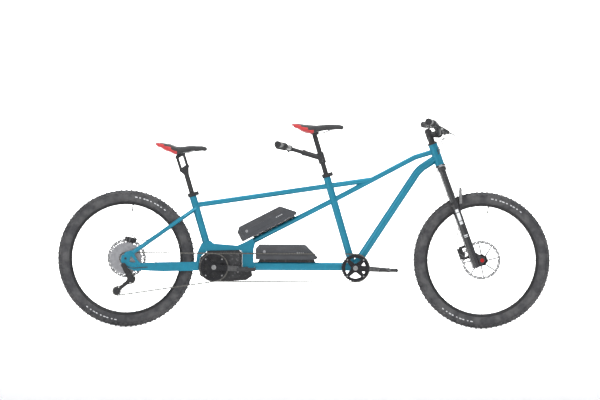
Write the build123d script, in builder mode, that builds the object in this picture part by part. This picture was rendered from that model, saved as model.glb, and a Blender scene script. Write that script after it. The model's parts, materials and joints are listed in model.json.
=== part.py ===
from build123d import *

import os
from math import asin, atan2, cos, degrees, hypot, pi, radians, sin, sqrt, tan

# An electric tandem bicycle. X is forward, Y is towards the riders' left, Z is up.
# The origin is on the ground, midway between the axles. Sizes are in millimetres, angles in degrees.

os.makedirs("parts", exist_ok=True)

# ---------------------------------------------------------------- driving dimensions
rear_centre = 459.5  # rear axle to the stoker's crank axis
front_centre = 658.9  # captain's crank axis to the front axle
crank_height = 314.0  # crank axes above the ground
chain_pitch = 12.7
timing_pitches = 58  # crank spacing, counted in chain pitches
tyre_radius = 358.0
tyre_width = 71.0
bead_radius = 293.7  # seat of the tyre on the rim
rim_depth = 18.5
rim_width = 40.6
spoke_radius = 0.9
spokes_per_wheel = 32
spoke_crossings = 3

seat_angle = 73.5
stoker_setback = 4.0  # seat tube axis behind the crank axis
captain_setback = 11.0
seat_tube_radius = 20.0
seat_tube_wall = 2.0
post_radius = 13.6
stoker_tube_top = 698.0  # heights above the ground
captain_tube_top = 802.0
shim_length = 80.0

head_angle = 70.0
fork_offset = 37.0
fork_travel = 120.0
steerer_radius = 14.3
head_tube_radius = 25.0
head_tube_bore = 20.0
head_low = 541.0  # distances up the steering axis
head_high = 655.0
crown_low = 508.0
crown_high = 530.0
stanchion_radius = 17.0
stanchion_low = 127.0
leg_radius = 20.0
leg_spread = 65.0  # fork leg axes, each side of the middle
leg_low = -25.0
leg_high = 325.0

cross_tube_radius = 14.5  # the top tube and the diagonal tube
cross_tube_wall = 2.0
down_tube_radius = 21.5
boom_height = 43.0
boom_width = 50.0
boom_wall = 2.5
stay_radius = 11.0
stay_wall = 1.8

rear_spacing = 148.0  # between the dropouts
front_spacing = 110.0
dropout_thickness = 10.0
rear_axle_radius = 6.0
front_axle_radius = 7.5
rotor_radius = 101.5
rotor_thickness = 2.0
rear_rotor_y = 59.0
front_rotor_y = 40.0

ring_teeth = 36
driven_teeth = 15
cog_teeth = (11, 13, 15, 17, 19, 21, 24, 28, 32, 37, 42)
cog_pitch = 3.9
smallest_cog_y = -67.8
pulley_teeth = 11
timing_chain_y = -51.0
roller_radius = 3.9
tooth_height = 2.6  # above the pitch circle
chain_half_height = 4.2
chain_gap = 1.7  # inner face of a side strip from the chain's middle
chain_half_width = 2.7

crank_length = 170.0
crank_slope = 3.0  # the drive side arms point forward and this far below level
arm_inner = 70.0
arm_outer = 84.0
spindle_radius = 12.0
pedal_axle_radius = 6.0
pedal_length = 100.0
pedal_width = 96.0
pedal_thickness = 17.0

battery_length = 325.0
battery_depth = 79.0
battery_width = 90.0
upper_rail_height = 6.0
lower_rail_height = 14.0

bar_radius = 11.1
grip_radius = 16.0
clamp_radius = 15.9
captain_bar_half = 390.0
stoker_bar_half = 310.0
grip_length = 130.0
hose_radius = 2.5
saddle_length = 274.0
saddle_half_width = 72.0
rail_radius = 3.5
rail_spread = 22.0

running = 0.05  # radial clearance of a shaft in its bore
seat_gap = 0.3  # between pieces that only rest against each other

# ---------------------------------------------------------------- derived places
crank_spacing = chain_pitch * timing_pitches
wheelbase = rear_centre + crank_spacing + front_centre
rear_x = -wheelbase / 2
front_x = wheelbase / 2
axle_z = tyre_radius
stoker_x = rear_x + rear_centre
captain_x = stoker_x + crank_spacing
seat_lean = tan(radians(90 - seat_angle))
drive_chain_y = smallest_cog_y + cog_pitch * cog_teeth.index(driven_teeth)


def pitch_radius(teeth):
    """Radius of a sprocket's pitch circle."""
    return chain_pitch / (2 * sin(pi / teeth))


def seat_point(base_x, height, ahead=0.0, y=0.0):
    """A point on a seat tube's axis, or this far ahead of it, square to the axis."""
    lean = radians(90 - seat_angle)
    x = base_x - (height - crank_height) * seat_lean
    return (x + ahead * cos(lean), y, height + ahead * sin(lean))


def stoker_tube(height, ahead=0.0, y=0.0):
    """A point beside the stoker's seat tube axis."""
    return seat_point(stoker_x - stoker_setback, height, ahead, y)


def captain_tube(height, ahead=0.0, y=0.0):
    """A point beside the captain's seat tube axis."""
    return seat_point(captain_x - captain_setback, height, ahead, y)


def fork_point(ahead, up, y=0.0):
    """A point from its place ahead of the steering axis and its distance up along it."""
    lean = radians(90 - head_angle)
    foot_x = front_x - fork_offset * cos(lean)
    foot_z = axle_z - fork_offset * sin(lean)
    return (
        foot_x + ahead * cos(lean) - up * sin(lean),
        y,
        foot_z + ahead * sin(lean) + up * cos(lean),
    )


def side_plane(y):
    """The plane at y that faces the drive side: its x is forward and its y is up."""
    return Plane(origin=(0, y, 0), x_dir=(1, 0, 0), z_dir=(0, -1, 0))


def fork_plane(y):
    """As side_plane, but along and square to the steering axis."""
    lean = radians(90 - head_angle)
    return Plane(origin=fork_point(0, 0, y), x_dir=(cos(lean), 0, sin(lean)), z_dir=(0, -1, 0))


def around(centre, offsets):
    """Side view points given by their offsets from a centre."""
    return [(centre[0] + dx, centre[1] + dz) for dx, dz in offsets]


# ---------------------------------------------------------------- shapes used many times
def bar(start, end, radius, bore=0.0, mode=Mode.ADD):
    """A round bar between two points, or a tube where it has a bore."""
    run = Vector(*end) - Vector(*start)
    with BuildSketch(Plane(origin=start, z_dir=run)) as section:
        Circle(radius)
        if bore:
            Circle(bore, mode=Mode.SUBTRACT)
    extrude(section.sketch, amount=run.length, mode=mode)


def drum(centre, y_from, y_to, radius, bore=0.0, mode=Mode.ADD):
    """A round solid across the bicycle, centred on a side view point."""
    bar((centre[0], y_from, centre[1]), (centre[0], y_to, centre[1]), radius, bore, mode)


def slab(outline, y_from, y_to, corner=0.0, plane=side_plane, mode=Mode.ADD):
    """A flat piece that stands in the side view, with this outline."""
    with BuildSketch(plane(max(y_from, y_to))) as face:
        with BuildLine():
            Polyline(*outline, close=True)
        make_face()
        if corner:
            fillet(face.vertices(), corner)
    extrude(face.sketch, amount=abs(y_to - y_from), mode=mode)


def turned(centre, outline, mode=Mode.ADD):
    """A solid turned about the line across the bicycle at centre, from (y, radius) points."""
    origin = (centre[0], 0, centre[1])
    with BuildSketch(Plane(origin=origin, x_dir=(0, 1, 0), z_dir=(1, 0, 0))) as section:
        with BuildLine():
            Polyline(*outline, close=True)
        make_face()
    revolve(section.sketch, axis=Axis(origin, (0, 1, 0)), mode=mode)


def corner_radii(points, share=0.45):
    """The largest arc for each corner of a route: a share of the shorter run on each side."""
    corners = [Vector(*point) for point in points]
    radii = []
    for before, corner, after in zip(corners, corners[1:], corners[2:]):
        inward = corner - before
        outward = after - corner
        turn = radians(inward.get_angle(outward))
        radii.append(share * min(inward.length, outward.length) / tan(turn / 2))
    return radii


def swept(points, radius, bore=0.0, radii=None):
    """A round tube or rod along a route of straight runs joined by arcs."""
    with BuildLine() as route:
        FilletPolyline(*points, radius=radii or corner_radii(points))
    path = route.wire()
    with BuildSketch(Plane(origin=path @ 0, z_dir=path % 0)) as section:
        Circle(radius)
        if bore:
            Circle(bore, mode=Mode.SUBTRACT)
    sweep(section.sketch, path=path)
    return path.length


def save_group(label, pieces):
    """Write a sub-part made of several separate solids."""
    group = Compound(label=label, children=pieces)
    export_step(group, f"parts/{label}.step")


def mirrored(point, side):
    """A point of the left side, or its mirror image on the drive side."""
    return (point.X, side * point.Y, point.Z)


# ---------------------------------------------------------------- frame tubes
axle_rear = (rear_x, axle_z)
axle_front = (front_x, axle_z)
stoker_axis = (stoker_x, crank_height)
captain_axis = (captain_x, crank_height)

top_tube_rear = stoker_tube(637)
top_tube_front = captain_tube(742)
diagonal_crossing = captain_tube(667.5)
diagonal_slope = radians(27.3)
cradle_reach = 206.0  # stoker's crank axis to the front of the motor cradle
diagonal_start = (
    stoker_x + cradle_reach,
    0,
    diagonal_crossing[2] - (diagonal_crossing[0] - stoker_x - cradle_reach) * tan(diagonal_slope),
)
diagonal_bend = (captain_x + 308.0, 0, crank_height + 580.0)
diagonal_head = fork_point(0, 618)
down_tube_foot = (captain_x - 8.0, 0, crank_height)
down_tube_bend = (captain_x + 329.0, 0, crank_height + 516.0)
down_tube_head = fork_point(0, 583)
shell_radius = 25.0
shell_half = 36.5
shell_bore = 20.0
boom_z = crank_height + 6.5

with BuildPart() as head_tube:
    bar(fork_point(0, head_low), fork_point(0, head_high), head_tube_radius, head_tube_bore)

with BuildPart() as bottom_bracket_shell:
    drum(captain_axis, -shell_half, shell_half, shell_radius, shell_bore)


def seat_tube(foot, top, shim_foot):
    """A seat tube whose bore narrows to the seatpost over its top end."""
    bar(foot, top, seat_tube_radius)
    bar(foot, shim_foot, seat_tube_radius - seat_tube_wall, mode=Mode.SUBTRACT)
    bar(foot, top, post_radius + running, mode=Mode.SUBTRACT)


stoker_tube_foot = crank_height + 132.0
with BuildPart() as stoker_seat_tube:
    seat_tube(
        stoker_tube(stoker_tube_foot),
        stoker_tube(stoker_tube_top),
        stoker_tube(stoker_tube_top - shim_length),
    )

with BuildPart() as captain_seat_tube:
    seat_tube(
        captain_tube(crank_height),
        captain_tube(captain_tube_top),
        captain_tube(captain_tube_top - shim_length),
    )
    drum(captain_axis, -shell_half, shell_half, shell_radius, mode=Mode.SUBTRACT)


def cut_seat_tubes():
    """Mitre the tube being built against both seat tubes."""
    bar(stoker_tube(stoker_tube_foot), stoker_tube(stoker_tube_top), seat_tube_radius, mode=Mode.SUBTRACT)
    bar(captain_tube(crank_height), captain_tube(captain_tube_top), seat_tube_radius, mode=Mode.SUBTRACT)


cross_bore = cross_tube_radius - cross_tube_wall
with BuildPart() as top_tube_rear_span:
    bar(top_tube_rear, top_tube_front, cross_tube_radius, cross_bore)
    cut_seat_tubes()

with BuildPart() as diagonal_rear_span:
    bar(diagonal_start, diagonal_crossing, cross_tube_radius, cross_bore)
    cut_seat_tubes()

diagonal_route = [diagonal_crossing, diagonal_bend, diagonal_head]
down_tube_route = [down_tube_foot, down_tube_bend, down_tube_head]
tube_bend_radius = 150.0
with BuildPart() as diagonal_solid:
    swept(diagonal_route, cross_tube_radius, radii=[tube_bend_radius])

with BuildPart() as diagonal_front_span:
    swept(diagonal_route, cross_tube_radius, cross_bore, radii=[tube_bend_radius])
    cut_seat_tubes()
    bar(fork_point(0, head_low - 20), fork_point(0, head_high + 20), head_tube_radius, mode=Mode.SUBTRACT)

top_tube_rise = (top_tube_front[2] - top_tube_rear[2]) / (top_tube_front[0] - top_tube_rear[0])
diagonal_front_rise = (diagonal_bend[2] - diagonal_crossing[2]) / (diagonal_bend[0] - diagonal_crossing[0])
merge_x = (
    diagonal_crossing[2] - top_tube_front[2]
    + top_tube_rise * top_tube_front[0] - diagonal_front_rise * diagonal_crossing[0]
) / (top_tube_rise - diagonal_front_rise)
merge_point = (merge_x, 0, top_tube_front[2] + top_tube_rise * (merge_x - top_tube_front[0]))
with BuildPart() as top_tube_front_span:
    bar(top_tube_front, merge_point, cross_tube_radius, cross_bore)
    cut_seat_tubes()
    add(diagonal_solid.part, mode=Mode.SUBTRACT)

with BuildPart() as down_tube:
    swept(down_tube_route, down_tube_radius, down_tube_radius - seat_tube_wall, radii=[tube_bend_radius])
    cut_seat_tubes()
    drum(captain_axis, -shell_half, shell_half, shell_radius, mode=Mode.SUBTRACT)
    bar(fork_point(0, head_low - 20), fork_point(0, head_high + 20), head_tube_radius, mode=Mode.SUBTRACT)
    add(diagonal_solid.part, mode=Mode.SUBTRACT)

with BuildPart() as boom_tube:
    with BuildSketch(Plane(
        origin=(stoker_x + cradle_reach, 0, boom_z), x_dir=(0, 1, 0), z_dir=(1, 0, 0)
    )) as boom_section:
        RectangleRounded(boom_width, boom_height, 12)
        RectangleRounded(
            boom_width - 2 * boom_wall, boom_height - 2 * boom_wall, 12 - boom_wall, mode=Mode.SUBTRACT
        )
    extrude(amount=captain_x - stoker_x - cradle_reach)
    cut_seat_tubes()
    drum(captain_axis, -shell_half, shell_half, shell_radius, mode=Mode.SUBTRACT)

# The cradle over and behind the motor: a hollow box with square seats for the tubes.
seat_lean_angle = radians(90 - seat_angle)
tube_seat = seat_tube_radius + 4
cradle_shape = around(stoker_axis, [(-94, -18), (-94, 31), (-88, 76), (-75, 106)])
cradle_shape += [
    (stoker_tube(stoker_tube_foot, -tube_seat)[0], stoker_tube(stoker_tube_foot, -tube_seat)[2]),
    (stoker_tube(stoker_tube_foot, tube_seat)[0], stoker_tube(stoker_tube_foot, tube_seat)[2]),
]
cradle_shape += around(stoker_axis, [(-2, 124), (120, 114), (158, 131)])
diagonal_seat = cross_tube_radius + 1.5
cradle_shape += [
    (
        diagonal_start[0] - diagonal_seat * sin(diagonal_slope),
        diagonal_start[2] + diagonal_seat * cos(diagonal_slope),
    ),
    (
        diagonal_start[0] + diagonal_seat * sin(diagonal_slope),
        diagonal_start[2] - diagonal_seat * cos(diagonal_slope),
    ),
]
cradle_shape += around(
    stoker_axis,
    [
        (cradle_reach, 96), (cradle_reach, -15), (147, -15), (147, 78), (134, 90.5),
        (-32.5, 86.5), (-72.5, 53), (-81, -14), (-81, -18),
    ],
)
cradle_half = 32.0
yoke_half = 45.0
cradle_wall = 5.0
with BuildPart() as motor_cradle:
    slab(cradle_shape, -cradle_half, cradle_half)
    with BuildSketch(side_plane(cradle_half - cradle_wall)) as pocket:
        with BuildLine():
            Polyline(*cradle_shape, close=True)
        make_face()
        offset(amount=-cradle_wall, mode=Mode.REPLACE)
    extrude(amount=2 * (cradle_half - cradle_wall), mode=Mode.SUBTRACT)
    slab(around(stoker_axis, [(-94, -18), (-94, 31), (-81, 31), (-81, -18)]), -yoke_half, yoke_half)

# Each chainstay is the overlap of its plan and its side view, hollow by a smaller pair.
stay_y = rear_spacing / 2 + dropout_thickness / 2
stay_end_x = rear_x + 77.5
yoke_x = stoker_x - 94.0


def chainstay_body(inset):
    """The left chainstay, drawn in by an inset on its sides."""
    half = 7.0 - inset
    centre_line = [(stay_end_x, stay_y), (rear_x + 110, stay_y - 2), (rear_x + 170, stay_y - 25)]
    centre_line += [(rear_x + 245, 48), (yoke_x - 48, 47), (yoke_x, 38)]
    outer = [(x, y + half) for x, y in centre_line]
    inner = [(x, y - half) for x, y in reversed(centre_line)]
    with BuildSketch(Plane.XY.offset(crank_height - 60)) as plan:
        with BuildLine():
            Polyline(*outer, *inner, close=True)
        make_face()
    extrude(plan.sketch, amount=120)
    view = [(stay_end_x, axle_z - 62 + inset), (stay_end_x, axle_z - 24 - inset)]
    view += [(rear_x + 190, axle_z - 19 - inset), (yoke_x, crank_height + 28 - inset)]
    view += [(yoke_x, crank_height - 18 + inset), (rear_x + 190, axle_z - 67 + inset)]
    slab(view, 0, 120, mode=Mode.INTERSECT)


with BuildPart(mode=Mode.PRIVATE) as stay_hollow:
    chainstay_body(2.2)

with BuildPart() as left_chainstay:
    chainstay_body(0)
    add(stay_hollow.part, mode=Mode.SUBTRACT)

with BuildPart() as right_chainstay:
    mirror(left_chainstay.part, about=Plane.XZ)

stay_slope = radians(35.4)
stay_start = (rear_x + 38.9, axle_z + 32.1)


def stay_place(along, y):
    """A point on the seatstay's line in the side view."""
    return (stay_start[0] + along * cos(stay_slope), y, stay_start[1] + along * sin(stay_slope))


stay_meet = (stoker_tube(622)[0] - stay_start[0]) / cos(stay_slope)
with BuildPart() as left_seatstay:
    swept(
        [
            stay_place(0, stay_y), stay_place(stay_meet * 0.24, stay_y), stay_place(stay_meet * 0.53, 54),
            stay_place(stay_meet * 0.81, 50), stay_place(stay_meet, 8),
        ],
        stay_radius,
        stay_radius - stay_wall,
        radii=[90, 90, 30],
    )
    cut_seat_tubes()

with BuildPart() as right_seatstay:
    mirror(left_seatstay.part, about=Plane.XZ)

stay_square = stay_radius + 2
dropout_shape = around(axle_rear, [(-24.5, -13), (-20.5, 14), (2.5, 34)])
dropout_shape += [
    (stay_start[0] - stay_square * sin(stay_slope), stay_start[1] + stay_square * cos(stay_slope)),
    (stay_start[0] + stay_square * sin(stay_slope), stay_start[1] - stay_square * cos(stay_slope)),
]
dropout_shape += around(axle_rear, [(61, -6), (77.5, -24), (77.5, -62), (55, -66), (22, -53), (-12, -33)])
dropout_inner = rear_spacing / 2
dropout_outer = dropout_inner + dropout_thickness
eyelet_radius = 2.5
eyelet_places = around(axle_rear, [(-9, 21), (62, -37)])


def dropout(side):
    """A dropout plate on one side: +1 left, -1 right."""
    slab(dropout_shape, side * dropout_inner, side * dropout_outer)
    drum(
        axle_rear, side * dropout_inner, side * dropout_outer, rear_axle_radius + running,
        mode=Mode.SUBTRACT,
    )
    window = around(axle_rear, [(20, -18), (27, 16), (58, -22)])
    slab(window, side * dropout_inner, side * dropout_outer, corner=5, mode=Mode.SUBTRACT)
    for place in eyelet_places:
        drum(place, side * dropout_inner, side * dropout_outer, eyelet_radius, mode=Mode.SUBTRACT)


hanger_bolt = (rear_x - 9.0, axle_z - 36.0)
with BuildPart() as right_dropout:
    dropout(-1)
    slab(around(hanger_bolt, [(-10, 20), (12, 20), (11, -8), (-9, -8)]), -dropout_inner - 1.0, -dropout_outer)
    drum(hanger_bolt, -dropout_inner - 1.0, -dropout_outer, 4.5, mode=Mode.SUBTRACT)
    drum(axle_rear, -dropout_inner, -dropout_outer, rear_axle_radius + running, mode=Mode.SUBTRACT)

with BuildPart() as left_dropout:
    dropout(1)
    slab(around(axle_rear, [(-6, 30), (-4, 78), (36, 82), (34, 36)]), dropout_inner, dropout_outer)
    slab(
        around(axle_rear, [(8, 46), (9, 66), (24, 67), (22, 46)]), dropout_inner, dropout_outer,
        mode=Mode.SUBTRACT,
    )
    drum(eyelet_places[0], dropout_inner, dropout_outer, eyelet_radius, mode=Mode.SUBTRACT)

main_tubes = {
    "head_tube": head_tube,
    "bottom_bracket_shell": bottom_bracket_shell,
    "stoker_seat_tube": stoker_seat_tube,
    "captain_seat_tube": captain_seat_tube,
    "top_tube_rear_span": top_tube_rear_span,
    "top_tube_front_span": top_tube_front_span,
    "diagonal_rear_span": diagonal_rear_span,
    "diagonal_front_span": diagonal_front_span,
    "down_tube": down_tube,
    "boom_tube": boom_tube,
    "motor_cradle": motor_cradle,
}
for tube_name, tube in main_tubes.items():
    tube.part.label = tube_name
save_group("frame_tubes", [tube.part for tube in main_tubes.values()])
rear_pieces = [left_chainstay, right_chainstay, left_seatstay, right_seatstay, left_dropout, right_dropout]
save_group("rear_stays", [piece.part for piece in rear_pieces])

# ---------------------------------------------------------------- headset and bottom bracket cups
with BuildPart() as lower_headset_cup:
    bar(fork_point(0, head_low - 10), fork_point(0, head_low), head_tube_radius + 2)
    bar(fork_point(0, head_low), fork_point(0, head_low + 15), head_tube_bore - running)
    bar(
        fork_point(0, head_low - 10), fork_point(0, head_low + 15), steerer_radius + running,
        mode=Mode.SUBTRACT,
    )
with BuildPart() as upper_headset_cup:
    bar(fork_point(0, head_high), fork_point(0, head_high + 11), head_tube_radius + 1)
    bar(fork_point(0, head_high - 15), fork_point(0, head_high), head_tube_bore - running)
    bar(
        fork_point(0, head_high - 15), fork_point(0, head_high + 11), steerer_radius + running,
        mode=Mode.SUBTRACT,
    )


def bottom_cup(side):
    """A bottom bracket cup, pressed into one end of the captain's shell."""
    drum(captain_axis, side * (shell_half - 12), side * shell_half, shell_bore - running)
    drum(captain_axis, side * shell_half, side * (shell_half + 8), shell_radius - 2)
    drum(
        captain_axis, side * (shell_half - 12), side * (shell_half + 8), spindle_radius + running,
        mode=Mode.SUBTRACT,
    )


with BuildPart() as right_cup:
    bottom_cup(-1)
with BuildPart() as left_cup:
    bottom_cup(1)
save_group("frame_bearings", [lower_headset_cup.part, upper_headset_cup.part, right_cup.part, left_cup.part])

# ---------------------------------------------------------------- motor
motor_shape = around(
    stoker_axis,
    [
        (-79, -14), (-71, 51), (-32, 84.5), (132, 88.5), (145.5, 77), (145.5, -17), (196, -18.5),
        (200, -44), (168, -67), (68, -71), (-32, -68), (-72, -44),
    ],
)
motor_right = -45.0
motor_left = 62.0
motor_wall = 4.0
with BuildPart() as motor_housing:
    slab(motor_shape, motor_right, motor_left - 12, corner=6)
    drum(stoker_axis, motor_right, motor_left, 46)
    with BuildSketch(side_plane(motor_left - 12 - motor_wall)) as motor_space:
        with BuildLine():
            Polyline(*motor_shape, close=True)
        make_face()
        offset(amount=-motor_wall, mode=Mode.REPLACE)
    extrude(amount=motor_left - 12 - 2 * motor_wall - motor_right, mode=Mode.SUBTRACT)
    drum(stoker_axis, motor_right, motor_left, spindle_radius + running, mode=Mode.SUBTRACT)
stator_centre = around(stoker_axis, [(98, 8)])[0]
with BuildPart() as stator:
    drum(stator_centre, motor_right + motor_wall + 0.2, motor_left - 12 - motor_wall - 0.2, 36, 14)
with BuildPart() as drive_gear:
    drum(stoker_axis, motor_right + motor_wall + 0.2, motor_left - 12 - motor_wall - 0.2, 42, 20)
save_group("motor_housing", [motor_housing.part, stator.part, drive_gear.part])

with BuildPart() as motor_cover:
    slab(
        around(stoker_axis, [(80, 74), (128, 78), (134, 60), (134, -30), (120, -54), (84, -58)]),
        motor_right - 0.1, motor_right - 2.8, corner=8,
    )
motor_cover.part.label = "motor_cover"
export_step(motor_cover.part, "parts/motor_cover.step")

# ---------------------------------------------------------------- batteries and their rails
upper_slope = diagonal_slope
upper_start = (
    diagonal_start[0] - 56 * cos(upper_slope) - cross_tube_radius * sin(upper_slope),
    diagonal_start[2] - 56 * sin(upper_slope) + cross_tube_radius * cos(upper_slope),
)


def upper_plane(y):
    """Side view along the diagonal tube, from the foot of the upper battery."""
    return Plane(
        origin=(upper_start[0], y, upper_start[1]),
        x_dir=(cos(upper_slope), 0, sin(upper_slope)),
        z_dir=(0, -1, 0),
    )


lower_start = (stoker_x + 216.0, boom_z + boom_height / 2)


def lower_plane(y):
    """Side view along the boom, from the foot of the lower battery."""
    return Plane(origin=(lower_start[0], y, lower_start[1]), x_dir=(1, 0, 0), z_dir=(0, -1, 0))


def battery(plane, lift):
    """A battery case with a sloped front end; lift is the height of its rail."""
    low = lift + seat_gap
    high = low + battery_depth
    half = battery_width / 2
    length = battery_length
    outline = [(0, low + 6), (4, low), (length - 10, low), (length, low + 12), (length - 66, high)]
    outline += [(20, high), (0, high - 22)]
    slab(outline, -half, half, plane=plane)
    for side in (-1, 1):
        # The long top edges are cut back at a slant, along the whole case.
        edge = side * half
        with BuildSketch(Plane(
            origin=plane(0).from_local_coords((0, 0, 0)), z_dir=plane(0).x_dir, x_dir=(0, 1, 0)
        )) as cut:
            with BuildLine():
                Polyline(
                    (edge + side, high + 1), (edge - side * 13, high + 1), (edge + side, high - 24),
                    close=True,
                )
            make_face()
        extrude(cut.sketch, amount=length, mode=Mode.SUBTRACT)


with BuildPart() as upper_battery:
    battery(upper_plane, upper_rail_height)
upper_battery.part.label = "upper_battery"
export_step(upper_battery.part, "parts/upper_battery.step")

with BuildPart() as lower_battery:
    battery(lower_plane, lower_rail_height)
lower_battery.part.label = "lower_battery"
export_step(lower_battery.part, "parts/lower_battery.step")

with BuildPart() as upper_rail:
    slab(
        [
            (62, 0.1), (battery_length - 20, 0.1), (battery_length - 20, upper_rail_height),
            (62, upper_rail_height),
        ],
        -16, 16, plane=upper_plane,
    )
with BuildPart() as lower_rail:
    slab(
        [
            (12, 0.1), (battery_length - 12, 0.1), (battery_length - 20, lower_rail_height),
            (20, lower_rail_height),
        ],
        -20, 20, plane=lower_plane,
    )
save_group("battery_rails", [upper_rail.part, lower_rail.part])


# ---------------------------------------------------------------- sprockets and chains
def toothed_disc(centre, y, teeth, thickness, bore):
    """A sprocket: valleys for the rollers, with flat topped teeth between."""
    radius = pitch_radius(teeth)
    step = 2 * pi / teeth
    marks = [(0.0, -roller_radius), (0.3, -1.0), (0.42, tooth_height), (0.58, tooth_height), (0.7, -1.0)]
    rim = []
    for tooth in range(teeth):
        for share, height in marks:
            angle = (tooth + share) * step
            rim.append((
                centre[0] + (radius + height) * cos(angle), centre[1] + (radius + height) * sin(angle)
            ))
    with BuildSketch(side_plane(y + thickness / 2)) as disc:
        with BuildLine():
            Polyline(*rim, close=True)
        make_face()
        with Locations((centre[0], centre[1])):
            Circle(bore, mode=Mode.SUBTRACT)
    extrude(disc.sketch, amount=thickness)


def belt_joints(circles):
    """Where a belt meets each circle (x, z, signed radius): arrival and departure points."""
    links = []
    for here, there in zip(circles, circles[1:] + circles[:1]):
        dx = there[0] - here[0]
        dz = there[1] - here[1]
        heading = atan2(dz, dx) + asin((here[2] - there[2]) / hypot(dx, dz))
        side = (sin(heading), -cos(heading))
        leave = (here[0] + here[2] * side[0], here[1] + here[2] * side[1])
        arrive = (there[0] + there[2] * side[0], there[1] + there[2] * side[1])
        links.append((leave, arrive))
    return links


def belt_face(circles, side_shift, plane_y, mode=Mode.ADD):
    """The area inside a belt line shifted sideways, for use in the sketch being built."""
    shifted = [(x, z, radius + side_shift) for x, z, radius in circles]
    links = belt_joints(shifted)
    with BuildLine() as loop:
        for index, circle in enumerate(shifted):
            arrive = links[index - 1][1]
            leave = links[index][0]
            first = atan2(arrive[1] - circle[1], arrive[0] - circle[0])
            last = atan2(leave[1] - circle[1], leave[0] - circle[0])
            turn = (last - first) % (2 * pi) if circle[2] > 0 else -((first - last) % (2 * pi))
            middle = first + turn / 2
            reach = abs(circle[2])
            through = (circle[0] + reach * cos(middle), circle[1] + reach * sin(middle))
            ThreePointArc(arrive, through, leave)
            Line(leave, links[index][1])
    make_face(loop.edges(), mode=mode)


def chain_solid(circles, chain_y):
    """Two side strips joined by the rollers of the straight runs."""
    for low in (chain_y - chain_half_width, chain_y + chain_gap):
        with BuildSketch(side_plane(low + chain_half_width - chain_gap)) as strip:
            belt_face(circles, chain_half_height, chain_y)
            belt_face(circles, -chain_half_height, chain_y, mode=Mode.SUBTRACT)
        extrude(strip.sketch, amount=chain_half_width - chain_gap)
    places = []
    reach = tooth_height + roller_radius + 0.6
    for index, (leave, arrive) in enumerate(belt_joints(circles)):
        here = abs(circles[index][2])
        there = abs(circles[(index + 1) % len(circles)][2])
        first = sqrt((here + reach) ** 2 - here**2)
        last = sqrt((there + reach) ** 2 - there**2)
        length = hypot(arrive[0] - leave[0], arrive[1] - leave[1])
        count = int((length - first - last) / chain_pitch)
        spare = (length - first - last - count * chain_pitch) / 2
        for step in range(count + 1):
            share = (first + spare + step * chain_pitch) / length
            places.append((
                leave[0] + (arrive[0] - leave[0]) * share, leave[1] + (arrive[1] - leave[1]) * share
            ))
    with BuildSketch(side_plane(chain_y + chain_gap + 0.4)) as rollers:
        with Locations(*places):
            Circle(roller_radius)
    extrude(rollers.sketch, amount=2 * chain_gap + 0.8)


ring_radius = pitch_radius(ring_teeth)
timing_circles = [
    (captain_axis[0], captain_axis[1], ring_radius), (stoker_axis[0], stoker_axis[1], ring_radius)
]
with BuildPart() as timing_chain:
    chain_solid(timing_circles, timing_chain_y)
timing_chain.part.label = "timing_chain"
export_step(timing_chain.part, "parts/timing_chain.step")

guide_axis = (rear_x + 28.0, axle_z - 107.0)
tension_axis = (rear_x - 44.0, axle_z - 170.0)
pulley_radius = pitch_radius(pulley_teeth)
drive_circles = [
    (stoker_axis[0], stoker_axis[1], ring_radius),
    (axle_rear[0], axle_rear[1], pitch_radius(driven_teeth)),
    (guide_axis[0], guide_axis[1], -pulley_radius),
    (tension_axis[0], tension_axis[1], pulley_radius),
]
with BuildPart() as drive_chain:
    chain_solid(drive_circles, drive_chain_y)
drive_chain.part.label = "drive_chain"
export_step(drive_chain.part, "parts/drive_chain.step")

carrier_radius = 17.0
with BuildPart() as cassette:
    for index, teeth in enumerate(cog_teeth):
        cog_y = smallest_cog_y + cog_pitch * index
        toothed_disc(axle_rear, cog_y, teeth, 1.8, carrier_radius - 2)
        if teeth > 20:
            inner = carrier_radius + 4
            outer = pitch_radius(teeth) - roller_radius - 4
            window_radius = min((outer - inner) / 2, 11)
            middle = (outer + inner) / 2
            with BuildSketch(side_plane(cog_y + 1)) as windows:
                with Locations((axle_rear[0], axle_rear[1])):
                    with PolarLocations(middle, 8):
                        Circle(window_radius)
            extrude(windows.sketch, amount=2, mode=Mode.SUBTRACT)
    drum(
        axle_rear, smallest_cog_y - 1.7, smallest_cog_y + cog_pitch * 10 + 1.3, carrier_radius,
        mode=Mode.ADD,
    )
    drum(axle_rear, -75, -20, rear_axle_radius + running, mode=Mode.SUBTRACT)
cassette.part.label = "cassette"
export_step(cassette.part, "parts/cassette.step")


# ---------------------------------------------------------------- cranks
ring_half = 1.1
ring_bolt_radius = 4.0
bolt_circle = ring_radius - 13


def crank_end(axis, side):
    """Where a pedal's axis meets its arm: forward on the drive side, back on the other."""
    reach = -side * crank_length
    return (axis[0] + reach * cos(radians(crank_slope)), axis[1] - reach * sin(radians(crank_slope)))


def crank_arm(axis, side):
    """One crank arm with its pedal axle: side is +1 left, -1 right."""
    tip = crank_end(axis, side)
    drum(axis, side * (arm_inner - 8), side * arm_outer, 19)
    drum(tip, side * arm_inner, side * arm_outer, 14)
    heading = atan2(tip[1] - axis[1], tip[0] - axis[0])
    across_x, across_z = -sin(heading), cos(heading)
    outline = [
        (axis[0] + 17 * across_x, axis[1] + 17 * across_z), (tip[0] + 11 * across_x, tip[1] + 11 * across_z),
        (tip[0] - 11 * across_x, tip[1] - 11 * across_z), (axis[0] - 17 * across_x, axis[1] - 17 * across_z),
    ]
    slab(outline, side * arm_inner, side * arm_outer)
    drum(tip, side * arm_outer, side * (arm_outer + pedal_width - 6), pedal_axle_radius)


def ring_bolts(axis, y_from, y_to, radius, mode=Mode.ADD):
    """The four bolts of a ring, or their holes."""
    for quarter in range(4):
        angle = radians(90 * quarter + 45)
        place = (axis[0] + bolt_circle * cos(angle), axis[1] + bolt_circle * sin(angle))
        drum(place, y_from, y_to, radius, mode=mode)


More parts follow.
